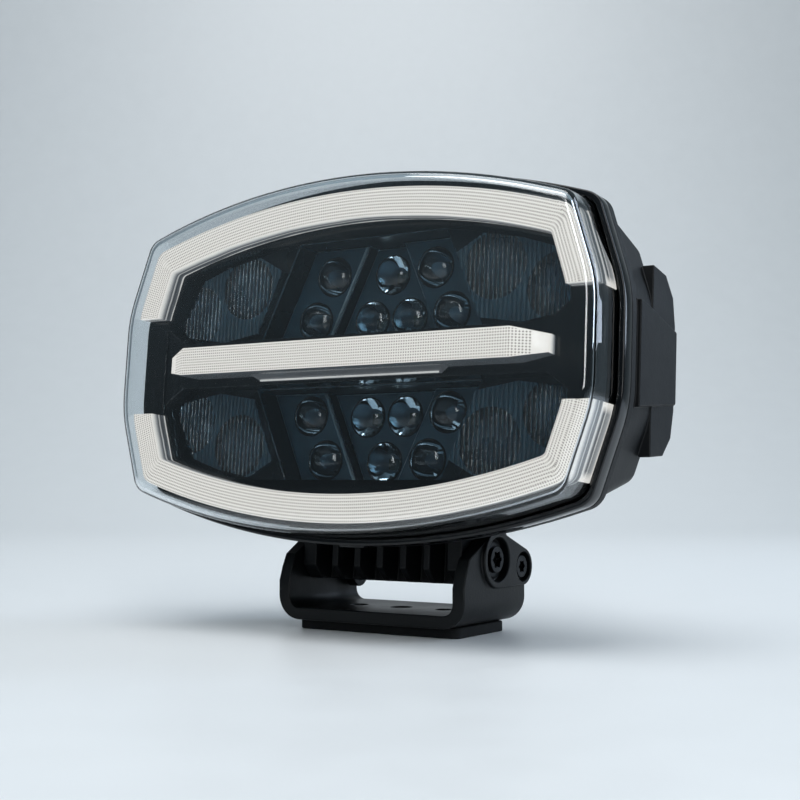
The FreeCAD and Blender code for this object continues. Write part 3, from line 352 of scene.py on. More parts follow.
def painted_streak_wall_finish(name, lit):
    """Side wall of a lit guide: glowing white at the face and at its ends, with painted reflection streaks
    between.
    """
    material, tree, shader = start_finish(name, {"Base Color": rgba(linear("#3A3D40")), "Roughness": 0.2,
                                                 "IOR": ACRYLIC_IOR, "Emission Strength": 1.0})
    place = add_node(tree, "ShaderNodeUVMap", uv_map="band")
    spot = add_node(tree, "ShaderNodeTexCoord")
    wander = add_node(tree, "ShaderNodeTexNoise", [("Vector", spot.outputs["Object"])],
                      {"Scale": 1.0 / WANDER_SIZE})
    axes = add_node(tree, "ShaderNodeSeparateXYZ", [("Vector", place.outputs["UV"])])
    drift = add_node(tree, "ShaderNodeMapRange", [("Value", wander.outputs["Fac"])],
                     {"To Min": -WANDER, "To Max": WANDER})
    bent = add_node(tree, "ShaderNodeMath", [(0, axes.outputs["Y"]), (1, drift.outputs["Result"])],
                    operation="ADD")
    depth = add_node(tree, "ShaderNodeMapRange", [("Value", bent.outputs["Value"])],
                     {"From Min": 0.0, "From Max": RETURN_BACK * MM})
    streaks = add_node(tree, "ShaderNodeValToRGB", [("Fac", depth.outputs["Result"])])
    stops = streaks.color_ramp.elements
    stops[0].position, stops[0].color = 0.0, rgba(lit)
    stops[1].position, stops[1].color = 1.0, rgba(lit)
    for at, code in PAINTED_WALL_STREAKS:
        stop = stops.new(at)
        stop.color = rgba(linear(code))
    ends = add_node(tree, "ShaderNodeMapRange", [("Value", axes.outputs["X"])],
                    {"From Min": END_GLOW[0], "From Max": END_GLOW[1], "To Min": 1.0, "To Max": 0.0})
    glow = add_node(tree, "ShaderNodeMix",
                    [("Factor", ends.outputs["Result"]), (MIX_A, streaks.outputs["Color"])], data_type="RGBA")
    glow.inputs[MIX_B].default_value = rgba(lit)
    tree.links.new(glow.outputs[MIX_RESULT], shader.inputs["Emission Color"])
    return material


FINISHES = {}


def make_finishes():
    """Every finish of the lamp, made once and kept by its slot's plain name."""
    if FINISHES:
        return FINISHES
    sizes = bpy.context.scene.light_sizes
    colours = bpy.context.scene.light_colours

    def grained(slot, name, colour, paler, **look):
        FINISHES[slot] = grained_finish(name, colour, paler, **look)

    # Injection-moulded polycarbonate: water-clear, hard-coated, very slightly rippled.
    FINISHES["clear_lens"] = clear_finish("moulded_clear_polycarbonate", colours.clear,
                                          ior=POLYCARBONATE_IOR, ripple=0.03, roughness=0.012, clearness=1.0)
    # Moulded acrylic optics: clear with a cool smoky cast in the thick parts.
    FINISHES["optic_clear"] = clear_finish("moulded_optic_acrylic", colours.optic,
                                           ior=ACRYLIC_IOR, ripple=0.05, roughness=0.02, clearness=1.0)
    # The same acrylic with moulded flutes, whose walls scatter a little light.
    FINISHES["fluted_clear"] = clear_finish("fluted_optic_acrylic", colours.optic,
                                            ior=ACRYLIC_IOR, ripple=0.05, roughness=0.03, clearness=0.98)
    # Spark-eroded satin on the flats of the lens tiles and round the covers' windows: a slate veil.
    # The tiles' chamfered edges and the right-facing flanks of the flutes in the windows carry a paler
    # painted highlight.
    grained("tile_satin", "satin_tile_acrylic", linear("#29495A"), linear("#325567"),
            grain=0.0008, bump=0.1, roughness=0.4, spread=0.06,
            **{"Transmission Weight": 0.25, "IOR": ACRYLIC_IOR})
    grained("tile_edge_painted_highlight", "cut_edge_acrylic_painted_highlight", linear("#7E9FB0"), linear("#98B7C6"),
            grain=0.0008, bump=0.1, roughness=0.3, spread=0.06,
            **{"Transmission Weight": 0.35, "IOR": ACRYLIC_IOR})
    grained("flute_flank_painted_highlight", "flute_acrylic_painted_highlight", linear("#42606F"), linear("#6A8C9D"),
            grain=0.0008, bump=0.1, roughness=0.3, spread=0.06,
            **{"Transmission Weight": 0.45, "IOR": ACRYLIC_IOR})
    # Frosted acrylic guide, lit: even soft white with fine rows of dots.
    FINISHES["lit_white"] = dotted_finish("frosted_guide_acrylic", colours.lit, colours.lit_dot,
                                          sizes.dot_pitch_along, sizes.dot_pitch_across)
    FINISHES["bar_white"] = dotted_finish("frosted_bar_acrylic", colours.lit, colours.lit_dot,
                                          sizes.bar_dot_pitch, sizes.bar_dot_pitch)
    # Polished side walls of the same guides: their glow carries pale and dark painted reflection streaks.
    FINISHES["glow_and_painted_light_wall"] = painted_streak_wall_finish("guide_acrylic_painted_streaks", colours.lit)
    # Gloss black ABS: deep black, mirror-like with a faint orange peel.
    grained("gloss_black", "gloss_black_abs", colours.bezel, linear("#0B0D10"),
            grain=0.004, bump=0.03, roughness=0.1, spread=0.03, **{"Specular IOR Level": 0.4})
    # Satin black ABS of the carrier, a slate cast under the clear lens.
    grained("carrier_black", "satin_slate_abs", colours.carrier, linear("#0D1921"),
            grain=0.0015, bump=0.08, roughness=0.28, spread=0.06, **{"Specular IOR Level": 0.35})
    # The carrier's eased rims: paler as a painted highlight, and glossier than its flats.
    grained("carrier_rim_painted_highlight", "slate_abs_painted_highlight", linear("#1C2E39"), linear("#2A414E"),
            grain=0.0015, bump=0.04, roughness=0.2, spread=0.05)
    # Die-cast aluminium with black powder coat: fine even grain, soft sheen.
    grained("housing_black", "powder_coated_casting", colours.casting, linear("#0D1013"),
            grain=sizes.powder_grain, bump=0.35, roughness=0.5, spread=0.07, **{"Specular IOR Level": 0.25})
    # Cast steel bracket, same coat laid a little thicker and smoother.
    grained("bracket_black", "powder_coated_bracket", colours.stand, linear("#0C0F11"),
            grain=sizes.powder_grain, bump=0.28, roughness=0.44, spread=0.06, **{"Specular IOR Level": 0.25})
    # Glass-filled nylon cover and vent: flat, slightly mottled black.
    grained("cover_black", "glass_filled_nylon", linear("#0A0B0D"), linear("#121416"),
            grain=0.0009, bump=0.3, roughness=0.6, spread=0.08, **{"Specular IOR Level": 0.3})
    grained("vent_black", "moulded_vent_nylon", linear("#0E0F10"), linear("#17181A"),
            grain=0.0008, bump=0.25, roughness=0.55, spread=0.06)
    # Moulded EPDM rubber: dull, faintly dusty.
    grained("pad_rubber", "moulded_pad_rubber", colours.rubber, linear("#141618"),
            grain=0.0008, bump=0.3, roughness=0.78, spread=0.06, **{"Specular IOR Level": 0.3})
    # Silicone seals: as dark, a little smoother.
    grained("seal_rubber", "silicone_seal", colours.rubber, linear("#1A1C1E"),
            grain=0.0008, bump=0.2, roughness=0.7, spread=0.06)
    # Black-oxide steel bolts: dark grey metal with a satin gleam.
    grained("bolt_black", "black_oxide_steel", linear("#1E2022"), linear("#2C2E31"),
            grain=0.0006, bump=0.15, roughness=0.36, spread=0.08, Metallic=1.0)
    # Stainless screws: bright grey, lightly tumbled.
    grained("screw_steel", "stainless_screw_steel", linear("#8F9396"), linear("#A6AAAD"),
            grain=0.0006, bump=0.1, roughness=0.3, spread=0.06, Metallic=1.0)
    # Vacuum-metallised reflector: near mirror with slight haze.
    grained("reflector_bright", "metallised_reflector", linear("#A9B4BB"), linear("#BCC6CC"),
            grain=0.002, bump=0.03, roughness=0.09, spread=0.03, Metallic=1.0)
    # Printed boards: solder mask over woven glass, bare aluminium under the main diodes.
    grained("board_white", "white_solder_mask", linear("#D8DAD8"), linear("#E6E7E5"),
            grain=0.0012, bump=0.1, roughness=0.45, spread=0.05)
    grained("board_green", "green_solder_mask", linear("#12492F"), linear("#1B5C3D"),
            grain=0.0012, bump=0.1, roughness=0.4, spread=0.05)
    grained("led_board_alu", "aluminium_core_board", linear("#9DA1A4"), linear("#B0B4B7"),
            grain=0.001, bump=0.12, roughness=0.38, spread=0.06, Metallic=1.0)
    # Phosphor over the diode dies, unlit: dull, matt, yellowish gel.
    grained("led_yellow", "phosphor_gel", linear("#5F563A"), linear("#756B49"),
            grain=0.0005, bump=0.15, roughness=0.5, spread=0.08)
    # Epoxy-moulded driver parts: dull dark grey.
    grained("driver_dark", "epoxy_moulded_parts", linear("#17181A"), linear("#222426"),
            grain=0.0006, bump=0.2, roughness=0.5, spread=0.06)
    # Natural nylon washers: milky, waxy.
    grained("washer_nylon", "natural_nylon", linear("#CFCBBE"), linear("#DAD7CC"),
            grain=0.001, bump=0.08, roughness=0.42, spread=0.05)
    return FINISHES


def once(items):
    """Each item once, in the order met."""
    return list(dict.fromkeys(items))


def verts_in(geom):
    """The vertices among what an operator gives back."""
    return [g for g in geom if isinstance(g, bmesh.types.BMVert)]


def cut(bm, spot, normal, trim=False):
    """Cuts through all of a bmesh in a plane, and drops what lies beyond it if trim is set."""
    return bmesh.ops.bisect_plane(bm, geom=bm.verts[:] + bm.edges[:] + bm.faces[:], plane_co=spot,
                                  plane_no=normal, clear_outer=trim)["geom_cut"]


def ease(bm, edges, width, segments, material=-1):
    """Rounds edges, or chamfers them with one segment."""
    bmesh.ops.bevel(bm, geom=edges, offset=width, offset_type="OFFSET", segments=segments, profile=0.5,
                    material=material, affect="EDGES")


def finish_piece(bm, name, finishes, nodes, crease=CREASE):
    """Takes a bmesh from the head's millimetres to its place, merges and orients it, and hands it over."""
    bmesh.ops.transform(bm, matrix=LAMP, verts=bm.verts)
    bmesh.ops.remove_doubles(bm, verts=bm.verts, dist=MERGE)
    bmesh.ops.recalc_face_normals(bm, faces=bm.faces)
    return hand_over(bm, name, "head", finishes, nodes, crease)


def hand_over(bm, name, body, finishes, nodes, crease=CREASE):
    """Sets smooth and sharp edges and turns the bmesh, with the finishes named, into a piece on its body."""
    limit = math.radians(crease)
    for face in bm.faces:
        face.smooth = True
    for edge in bm.edges:
        edge.smooth = len(edge.link_faces) == 2 and edge.calc_face_angle(0.0) < limit
    mesh = bpy.data.meshes.new(name)
    bm.to_mesh(mesh)
    bm.free()
    for finish in finishes:
        mesh.materials.append(make_finishes()[finish])
    piece = bpy.data.objects.new(name, mesh)
    bpy.context.scene.collection.objects.link(piece)
    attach(piece, body)
    if nodes:
        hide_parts(*nodes)
    return piece


def merged_copy(node):
    """A CAD node's mesh as a bmesh with its loose triangles merged."""
    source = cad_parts[node].data.copy()
    layer = source.attributes.get("custom_normal")
    if layer:
        source.attributes.remove(layer)
    bm = bmesh.new()
    bm.from_mesh(source)
    bpy.data.meshes.remove(source)
    bmesh.ops.remove_doubles(bm, verts=bm.verts, dist=MERGE)
    for face in bm.faces:
        face.material_index = 0
    return bm


def eased_copy(node, name, body, slot, edge=0.0, segments=2, rim=None):
    """A CAD node's shape with its seams merged, its flats joined and its hard edges eased.

    The eased edges take the rim's finish where one is named."""
    bm = merged_copy(node)
    if edge:
        bmesh.ops.dissolve_limit(bm, angle_limit=math.radians(FLAT_ANGLE), verts=bm.verts, edges=bm.edges)
    piece = hand_over(bm, name, body, [slot, rim] if rim else [slot], [node])
    if edge:
        rounding = piece.modifiers.new("eased_edges", "BEVEL")
        rounding.material = 1 if rim else -1
        rounding.width = edge
        rounding.segments = segments
        rounding.limit_method = "ANGLE"
        rounding.angle_limit = math.radians(EASE_ANGLE)
        rounding.profile = 0.5
        rounding.harden_normals = True
        rounding.use_clamp_overlap = False
    return piece


def optic_tile(node, name, face_y):
    """A lens tile: clear domes and cones, a satin plate between them, and a pale painted highlight on its
    chamfered edges.
    """
    bm = merged_copy(node)
    bm.normal_update()
    to_head = LAMP.inverted()
    turn = to_head.to_3x3().normalized()
    for face in bm.faces:
        normal = turn @ face.normal
        depth = (to_head @ face.calc_center_median()).y
        if normal.y < -0.99 and abs(depth - face_y) < 0.2:
            face.material_index = 1
        elif abs(normal.y) < 0.05 and face_y < depth < face_y + TILE_T:
            face.material_index = 2
    rim = [e for e in bm.edges if sorted(f.material_index for f in e.link_faces) == [1, 2]]
    ease(bm, rim, TILE_CHAMFER, 1, material=2)
    return hand_over(bm, name, "head", ["optic_clear", "tile_satin", "tile_edge_painted_highlight"], [node])


def line_to(bm, vert, point):
    """Draws a straight edge on from a vertex and returns its far end."""
    end = bmesh.ops.extrude_vert_indiv(bm, verts=[vert])["verts"][0]
    end.co = point
    return end


def arc_on(bm, vert, centre, angle, steps):
    """Sweeps an arc on from a vertex about a centre in the plane of the lens, and returns its far end."""
    swept = bmesh.ops.spin(bm, geom=[vert], cent=centre, axis=(0.0, -1.0, 0.0), angle=angle, steps=steps)
    return swept["geom_last"][0]


def lens_outline(bm, y, inset, drop=0.0):
    """Closed outline of the lamp at depth y, moved in by inset, its long arcs lowered by drop."""
    half_w = HALF_W - inset
    facing = Vector((math.cos(SIDE_SLOPE), 0.0, math.sin(SIDE_SLOPE)))
    slant = Vector((-facing.z, 0.0, facing.x))
    reach = facing.x * HALF_W + facing.z * SIDE_Z - inset
    fold_z = (reach - facing.x * half_w) / facing.z
    side_r = SIDE_R - inset
    side_end = Vector((half_w, 0.0, fold_z - side_r * math.tan(SIDE_SLOPE / 2)))
    side_hub = Vector((half_w - side_r, 0.0, side_end.z))
    slant_start = Vector((half_w, 0.0, fold_z)) + slant * side_r * math.tan(SIDE_SLOPE / 2)
    # The corner's hub runs along the slant to where its circle also touches the long arc from inside.
    corner_r = max(CORNER_R - inset * CORNER_SHRINK, CORNER_MIN)
    arc_hub = Vector((0.0, 0.0, APEX - ARC_R - drop))
    arc_r = ARC_R - inset
    base = facing * (reach - corner_r) - arc_hub
    ahead = base.dot(slant)
    run = -ahead + math.sqrt(ahead * ahead - base.dot(base) + (arc_r - corner_r) ** 2)
    corner_hub = facing * (reach - corner_r) + slant * run
    slant_end = corner_hub + facing * corner_r
    out = (corner_hub - arc_hub).normalized()
    corner_sweep = math.acos(max(-1.0, min(1.0, facing.dot(out))))
    arc_sweep = 2.0 * math.asin(out.x)

    def at(p, sx, sz):
        """A point of the upper right quarter, mirrored into another one, at the outline's depth."""
        return Vector((p.x * sx, y, p.z * sz))

    older = set(bm.verts)
    first = vert = bm.verts.new(at(side_end, 1, -1))
    for side in (1, -1):
        vert = line_to(bm, vert, at(side_end, side, side))
        vert = arc_on(bm, vert, at(side_hub, side, side), SIDE_SLOPE, SIDE_STEPS)
        vert = line_to(bm, vert, at(slant_end, side, side))
        vert = arc_on(bm, vert, at(corner_hub, side, side), corner_sweep, CORNER_STEPS)
        vert = arc_on(bm, vert, at(arc_hub, side, side), arc_sweep, ARC_STEPS)
        vert = arc_on(bm, vert, at(corner_hub, -side, side), corner_sweep, CORNER_STEPS)
        vert = line_to(bm, vert, at(slant_start, -side, side))
        vert = arc_on(bm, vert, at(side_hub, -side, side), SIDE_SLOPE, SIDE_STEPS)
    bmesh.ops.pointmerge(bm, verts=[first, vert], merge_co=first.co)
    return [v for v in bm.verts if v not in older]


def loop_edges(verts):
    """The edges that run between the given vertices."""
    ring = set(verts)
    edges = once(e for v in verts for e in v.link_edges)
    return [e for e in edges if e.verts[0] in ring and e.verts[1] in ring]


def bridge(bm, first, second):
    """Closes the gap between two outlines with faces."""
    return bmesh.ops.bridge_loops(bm, edges=loop_edges(first) + loop_edges(second))["faces"]


def domed(verts, front):
    """Sets outline vertices on the lens's gently domed front."""
    for v in verts:
        v.co.y = front + (v.co.x ** 2 + v.co.z ** 2) / (2.0 * LENS_SAG_R)


def lens_shell():
    """Outer lens: domed front, rounded fold, short side wall and its clamped flange, with a real wall."""
    bm = bmesh.new()

    def wall(depth):
        """Front face, fold and side of the lens, depth inside its outer skin."""
        fold_r = LENS_EDGE_R - depth
        loops = []
        for inset in LENS_RINGS:
            ring = lens_outline(bm, 0.0, inset + depth)
            domed(ring, LENS_FRONT + depth)
            loops.append(ring)
        for step in range(FOLD_STEPS + 1):
            angle = math.radians(90.0 * step / FOLD_STEPS)
            ring = lens_outline(bm, 0.0, depth + fold_r * (1.0 - math.sin(angle)))
            domed(ring, LENS_FRONT + depth + fold_r * (1.0 - math.cos(angle)))
            loops.append(ring)
        return loops

    def skin(loops, front):
        """Faces over the outlines and over the middle that the first of them leaves open."""
        centre = loops[0]
        for factor in LENS_CENTRE:
            centre = verts_in(bmesh.ops.extrude_edge_only(bm, edges=loop_edges(centre))["geom"])
            bmesh.ops.scale(bm, vec=(factor, 1.0, factor), verts=centre)
            domed(centre, front)
        bmesh.ops.contextual_create(bm, geom=loop_edges(centre))
        for first, second in zip(loops, loops[1:]):
            bridge(bm, first, second)

    outer = wall(0.0)
    outer.append(lens_outline(bm, FLANGE_FRONT, LENS_GROW))
    outer.append(lens_outline(bm, FLANGE_FRONT, FLANGE_GROW))
    outer.append(lens_outline(bm, LENS_BACK, FLANGE_GROW))
    inner = wall(LENS_T)
    inner.append(lens_outline(bm, LENS_BACK, LENS_T + LENS_GROW))
    skin(outer, LENS_FRONT)
    skin(inner, LENS_FRONT + LENS_T)
    bridge(bm, outer[-1], inner[-1])
    return finish_piece(bm, "lens_shell", ["clear_lens"], ["outer_lens"], LENS_CREASE)


def frame_ring():
    """Black frame round the lens: a lip on the flange, a skirt down its side and a tab below, edges eased."""
    bm = bmesh.new()
    lip = LENS_GROW - FRAME_FIT
    skirt = FLANGE_GROW - FRAME_FIT
    loops = [lens_outline(bm, y, inset) for y, inset in [
        (FRAME_FRONT, lip), (FRAME_FRONT, FRAME_GROW), (FRAME_BACK, FRAME_GROW),
        (FRAME_BACK, skirt), (FLANGE_FRONT, skirt), (FLANGE_FRONT, lip)]]
    edges = loop_edges(loops[1]) + loop_edges(loops[2]) + loop_edges(loops[0])
    for first, second in zip(loops, loops[1:] + loops[:1]):
        bridge(bm, first, second)
    ease(bm, edges, FRAME_EASE, 3)
    tab = bmesh.ops.create_cube(bm, size=1.0)["verts"]
    bmesh.ops.scale(bm, vec=TAB_SIZE, verts=tab)
    bmesh.ops.translate(bm, vec=(0.0, TAB_Y, -APEX + FRAME_GROW + TAB_SINK), verts=tab)
    ease(bm, loop_edges(tab), TAB_EASE, 2)
    return finish_piece(bm, "frame_ring", ["gloss_black"], ["lens_frame"])


def guide_strip(name, node, flip):
    """One C-shaped light guide: dotted face, streaked walls, and a return block down each side."""
    bm = bmesh.new()
    band = bm.loops.layers.uv.new("band")
    outer = lens_outline(bm, 0.0, GUIDE_IN, GUIDE_DROP)
    inner = lens_outline(bm, 0.0, GUIDE_WIDE, GUIDE_WIDE_DROP)
    along = {}
    length = 0.0
    for i, vert in enumerate(outer):
        if i:
            length += (vert.co - outer[i - 1].co).length
        along[vert] = (length * MM, 0.0)
        along[inner[i]] = (length * MM, (GUIDE_WIDE - GUIDE_IN) * MM)
    for face in bridge(bm, outer, inner):
        for loop in face.loops:
            loop[band].uv = along[loop.vert]
    cut(bm, (0.0, 0.0, GUIDE_END_Z), (0.0, 0.0, -1.0), True)
    back = bmesh.ops.extrude_face_region(bm, geom=bm.faces[:], use_keep_orig=True)["geom"]
    bmesh.ops.translate(bm, vec=(0.0, GUIDE_BACK, 0.0), verts=verts_in(back))
    returns = bmesh.new()
    returns.loops.layers.uv.new("band")
    side = lens_outline(returns, GUIDE_BACK, GUIDE_IN)
    bridge(returns, side, lens_outline(returns, GUIDE_BACK, GUIDE_IN + RETURN_T))
    for z, up, trim in [(GUIDE_END_Z, -1.0, True), (RETURN_TOP_Z, 1.0, True),
                        (GUIDE_END_Z + RETURN_GLOW, 1.0, False), (RETURN_TOP_Z - RETURN_GLOW, 1.0, False)]:
        cut(returns, (0.0, 0.0, z), (0.0, 0.0, up), trim)
    block = bmesh.ops.extrude_face_region(returns, geom=returns.faces[:], use_keep_orig=True)["geom"]
    bmesh.ops.translate(returns, vec=(0.0, RETURN_BACK - GUIDE_BACK, 0.0), verts=verts_in(block))
    spare = bpy.data.meshes.new("guide_returns")
    returns.to_mesh(spare)
    returns.free()
    bm.from_mesh(spare)
    bpy.data.meshes.remove(spare)
    # The walls glow white at the returns' ends and carry painted reflection streaks along their depth.
    for face in bm.faces:
        face.material_index = 0 if all(abs(v.co.y) < TOUCH for v in face.verts) else 1
        if face.material_index:
            on_return = max(v.co.y for v in face.verts) > GUIDE_BACK + SLACK
            for loop in face.loops:
                y, z = loop.vert.co.yz
                from_end = min(z - GUIDE_END_Z, RETURN_TOP_Z - z) if on_return else RETURN_GLOW
                loop[band].uv = (from_end * MM, y * MM)
    rim = [e for e in bm.edges
           if len(e.link_faces) == 2 and {f.material_index for f in e.link_faces} == {0, 1}]
    ease(bm, rim, GUIDE_EASE, 2)
    if flip:
        bmesh.ops.scale(bm, vec=(1.0, 1.0, -1.0), verts=bm.verts)
    return finish_piece(bm, name, ["lit_white", "glow_and_painted_light_wall"], [node])


def bar_strip():
    """Centre bar: a flat dotted face that thins to a tip at both ends, and a beaded chin under its middle."""
    bm = bmesh.new()
    band = bm.loops.layers.uv.new("band")

    def hull(points):
        """A closed block round its corner points."""
        verts = [bm.verts.new(p) for p in points]
        made = bmesh.ops.convex_hull(bm, input=verts)
        faces = [g for g in made["geom"] if isinstance(g, bmesh.types.BMFace)]
        edges = once(e for f in faces for e in f.edges)
        bmesh.ops.dissolve_limit(bm, angle_limit=math.radians(1.0), verts=verts, edges=edges)

    hull([(sx * x, y, sz * z) for sx in (-1, 1) for sz in (-1, 1) for x, y, z in [
        (BAR_SHOULDER_X, BAR_FRONT, BAR_HALF_H), (BAR_TIP_X, BAR_TIP_Y, BAR_TIP_HALF_H),
        (BAR_SHOULDER_X, BAR_BACK, BAR_HALF_H), (BAR_TIP_X, BAR_BACK, BAR_TIP_HALF_H)]])
    hull([(sx * x, y, -z) for sx in (-1, 1) for x, y, z in [
        (CHIN_TOP_X, CHIN_TOP_Y, CHIN_TOP), (CHIN_TOP_X, BAR_BACK, CHIN_TOP),
        (CHIN_LOW_X, CHIN_LOW_Y, CHIN_LOW), (CHIN_LOW_X, BAR_BACK, CHIN_LOW)]])
    hull([(sx * CHIN_LOW_X, y, -z) for sx in (-1, 1)
          for y in (CHIN_LOW_Y - BEAD_FRONT, CHIN_LOW_Y + BEAD_BACK)
          for z in (CHIN_LOW - BEAD_TOP, CHIN_LOW + BEAD_LOW)])
    rim = [e for e in bm.edges if all(v.co.y < BAR_TIP_Y + SLACK for v in e.verts)]
    ease(bm, rim, BAR_EASE, 3)
    for side in (-1.0, 1.0):
        cut(bm, (side * BAR_PLAIN_X, 0.0, 0.0), (side, 0.0, 0.0))
    bm.normal_update()
    for face in bm.faces:
        chin = min(v.co.z for v in face.verts) < -BAR_HALF_H - SLACK
        dotted = face.normal.y < -0.8 and max(abs(v.co.x) for v in face.verts) < BAR_PLAIN_X + TOUCH
        face.material_index = 0 if dotted and not chin else 1
        for loop in face.loops:
            x, y, z = loop.vert.co
            if not face.material_index:
                loop[band].uv = (x * MM, z * MM)
                continue
            # Painted highlight on the bead, painted shade on the chin and underside, painted streaks on the
            # sides
            if chin and face.normal.y < -0.9:
                shade = BEAD_PAINTED_HIGHLIGHT
            elif chin:
                shade = CHIN_LEFT_PAINTED_LIGHT if x < 0.0 else CHIN_PAINTED_SHADE
            elif face.normal.z < -0.5:
                shade = UNDERSIDE_PAINTED_SHADE
            else:
                shade = 0.0 if face.normal.y < -0.3 else max(y - BAR_TIP_Y, 0.0)
            loop[band].uv = (RETURN_GLOW * MM, shade * MM)
    return finish_piece(bm, "bar_strip", ["bar_white", "glow_and_painted_light_wall"], ["centre_light_bar"])


def ribbed_cover(name, node, sx, sz):
    """Cover with upright round flutes, trimmed to the cell that it fills: clear windows in a satin ground."""
    bm = bmesh.new()
    half = FLUTE_PITCH / 2
    flute_r = (half * half + FLUTE_DEPTH * FLUTE_DEPTH) / (2.0 * FLUTE_DEPTH)
    sweep = 2.0 * math.asin(half / flute_r)
    valley = COVER_FRONT + FLUTE_DEPTH
    left = min(x for x, z in CELL) - half
    count = math.ceil((max(x for x, z in CELL) - left) / FLUTE_PITCH)
    vert = bm.verts.new((left, valley, min(z for x, z in CELL) - FLUTE_OVERRUN))
    for i in range(count):
        hub = (left + FLUTE_PITCH * i + half, COVER_FRONT + flute_r, vert.co.z)
        vert = bmesh.ops.spin(bm, geom=[vert], cent=hub, axis=(0.0, 0.0, 1.0), angle=sweep,
                              steps=FLUTE_STEPS)["geom_last"][0]
    sheet = bmesh.ops.extrude_edge_only(bm, edges=bm.edges[:])["geom"]
    bmesh.ops.translate(bm, vec=(0.0, 0.0, max(z for x, z in CELL) - vert.co.z + FLUTE_OVERRUN),
                        verts=verts_in(sheet))
    back = bmesh.ops.extrude_face_region(bm, geom=bm.faces[:], use_keep_orig=True)["geom"]
    for far in verts_in(back):
        far.co.y = COVER_BACK
    for (x0, z0), (x1, z1) in zip(CELL, CELL[1:] + CELL[:1]):
        outward = Vector((-(z1 - z0), 0.0, x1 - x0)).normalized()
        rim = cut(bm, (x0, 0.0, z0), outward, True)
        bmesh.ops.contextual_create(bm, geom=[g for g in rim if isinstance(g, bmesh.types.BMEdge)])

    def flutes():
        """The faces of the fluted front."""
        return [f for f in bm.faces if max(v.co.y for v in f.verts) < valley + TOUCH]

    for x, z in WINDOWS:
        for i in range(WINDOW_SIDES):
            turn = math.tau * i / WINDOW_SIDES
            outward = Vector((math.cos(turn), 0.0, math.sin(turn)))
            faces = flutes()
            geom = faces + once(e for f in faces for e in f.edges)
            geom += once(v for f in faces for v in f.verts)
            bmesh.ops.bisect_plane(bm, geom=geom, plane_co=Vector((x, 0.0, z)) + outward * WINDOW_R,
                                   plane_no=outward)
    for face in flutes():
        centre = face.calc_center_median()
        near = min(math.hypot(centre.x - x, centre.z - z) for x, z in WINDOWS)
        face.material_index = 0 if near < WINDOW_R else 2
    bmesh.ops.scale(bm, vec=(sx, 1.0, sz), verts=bm.verts)
    bmesh.ops.recalc_face_normals(bm, faces=bm.faces)
    bm.normal_update()
    # Flanks facing right inside the windows take a paler painted highlight.
    for face in flutes():
        if face.material_index == 0 and face.normal.x > FLANK_HIGHLIGHT_FACING:
            face.material_index = 1
    return finish_piece(bm, name, ["fluted_clear", "flute_flank_painted_highlight", "tile_satin"], [node],
                        FLUTE_CREASE)


def dome_collars():
    """Black moulded ring round every dome lens, its top edge rounded."""
    bm = bmesh.new()
    spots = [(x, z, TRIO_FACE) for x, z in TRIO_DOMES]
    spots += [(x * side, z, PAIR_FACE) for x, z in PAIR_DOMES for side in (-1.0, 1.0)]
    for x, z, face_y in [(x, z * row, y) for x, z, y in spots for row in (-1.0, 1.0)]:
        round_y = face_y - COLLAR_H + COLLAR_R
        start = bm.verts.new((x + DOME_R + COLLAR_OUT, face_y, z))
        top = line_to(bm, start, (x + DOME_R + COLLAR_OUT, round_y, z))
        top = bmesh.ops.spin(bm, geom=[top], cent=(x + DOME_R + COLLAR_MID, round_y, z),
                             axis=(0.0, 0.0, -1.0), angle=math.pi, steps=COLLAR_STEPS)["geom_last"][0]
        line_to(bm, top, (x + DOME_R + COLLAR_IN, face_y, z))
        profile = [e for e in bm.edges if not e.link_faces]
        bmesh.ops.spin(bm, geom=once(v for e in profile for v in e.verts) + profile, cent=(x, face_y, z),
                       axis=(0.0, 1.0, 0.0), angle=math.tau, steps=COLLAR_SIDES, use_merge=True)
    return finish_piece(bm, "dome_collars", ["gloss_black"], [])


def dress(slot, *nodes):
    """Gives CAD nodes whose shape is right their finish."""
    for node in nodes:
        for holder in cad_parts[node].material_slots:
            holder.material = make_finishes()[slot]


class LIGHT_OT_lens(bpy.types.Operator):
    """Makes the outer lens and the frame round it"""
    bl_idname = "light.lens"
    bl_label = "Lens and frame"

    def execute(self, context):
        lens_shell()
        frame_ring()
        dress("seal_rubber", "lens_seal")
        return {"FINISHED"}


class LIGHT_OT_guides(bpy.types.Operator):
    """Makes the two light guides"""
    bl_idname = "light.guides"
    bl_label = "Light guides"

    def execute(self, context):
        guide_strip("upper_guide_strip", "upper_light_guide", False)
        guide_strip("lower_guide_strip", "lower_light_guide", True)
        return {"FINISHED"}


class LIGHT_OT_bar(bpy.types.Operator):
    """Makes the centre bar and the beam behind it"""
    bl_idname = "light.bar"
    bl_label = "Centre bar"

    def execute(self, context):
        bar_strip()
        eased_copy("bar_beam", "beam_moulding", "head", "gloss_black", BEAM_EDGE)
        return {"FINISHED"}


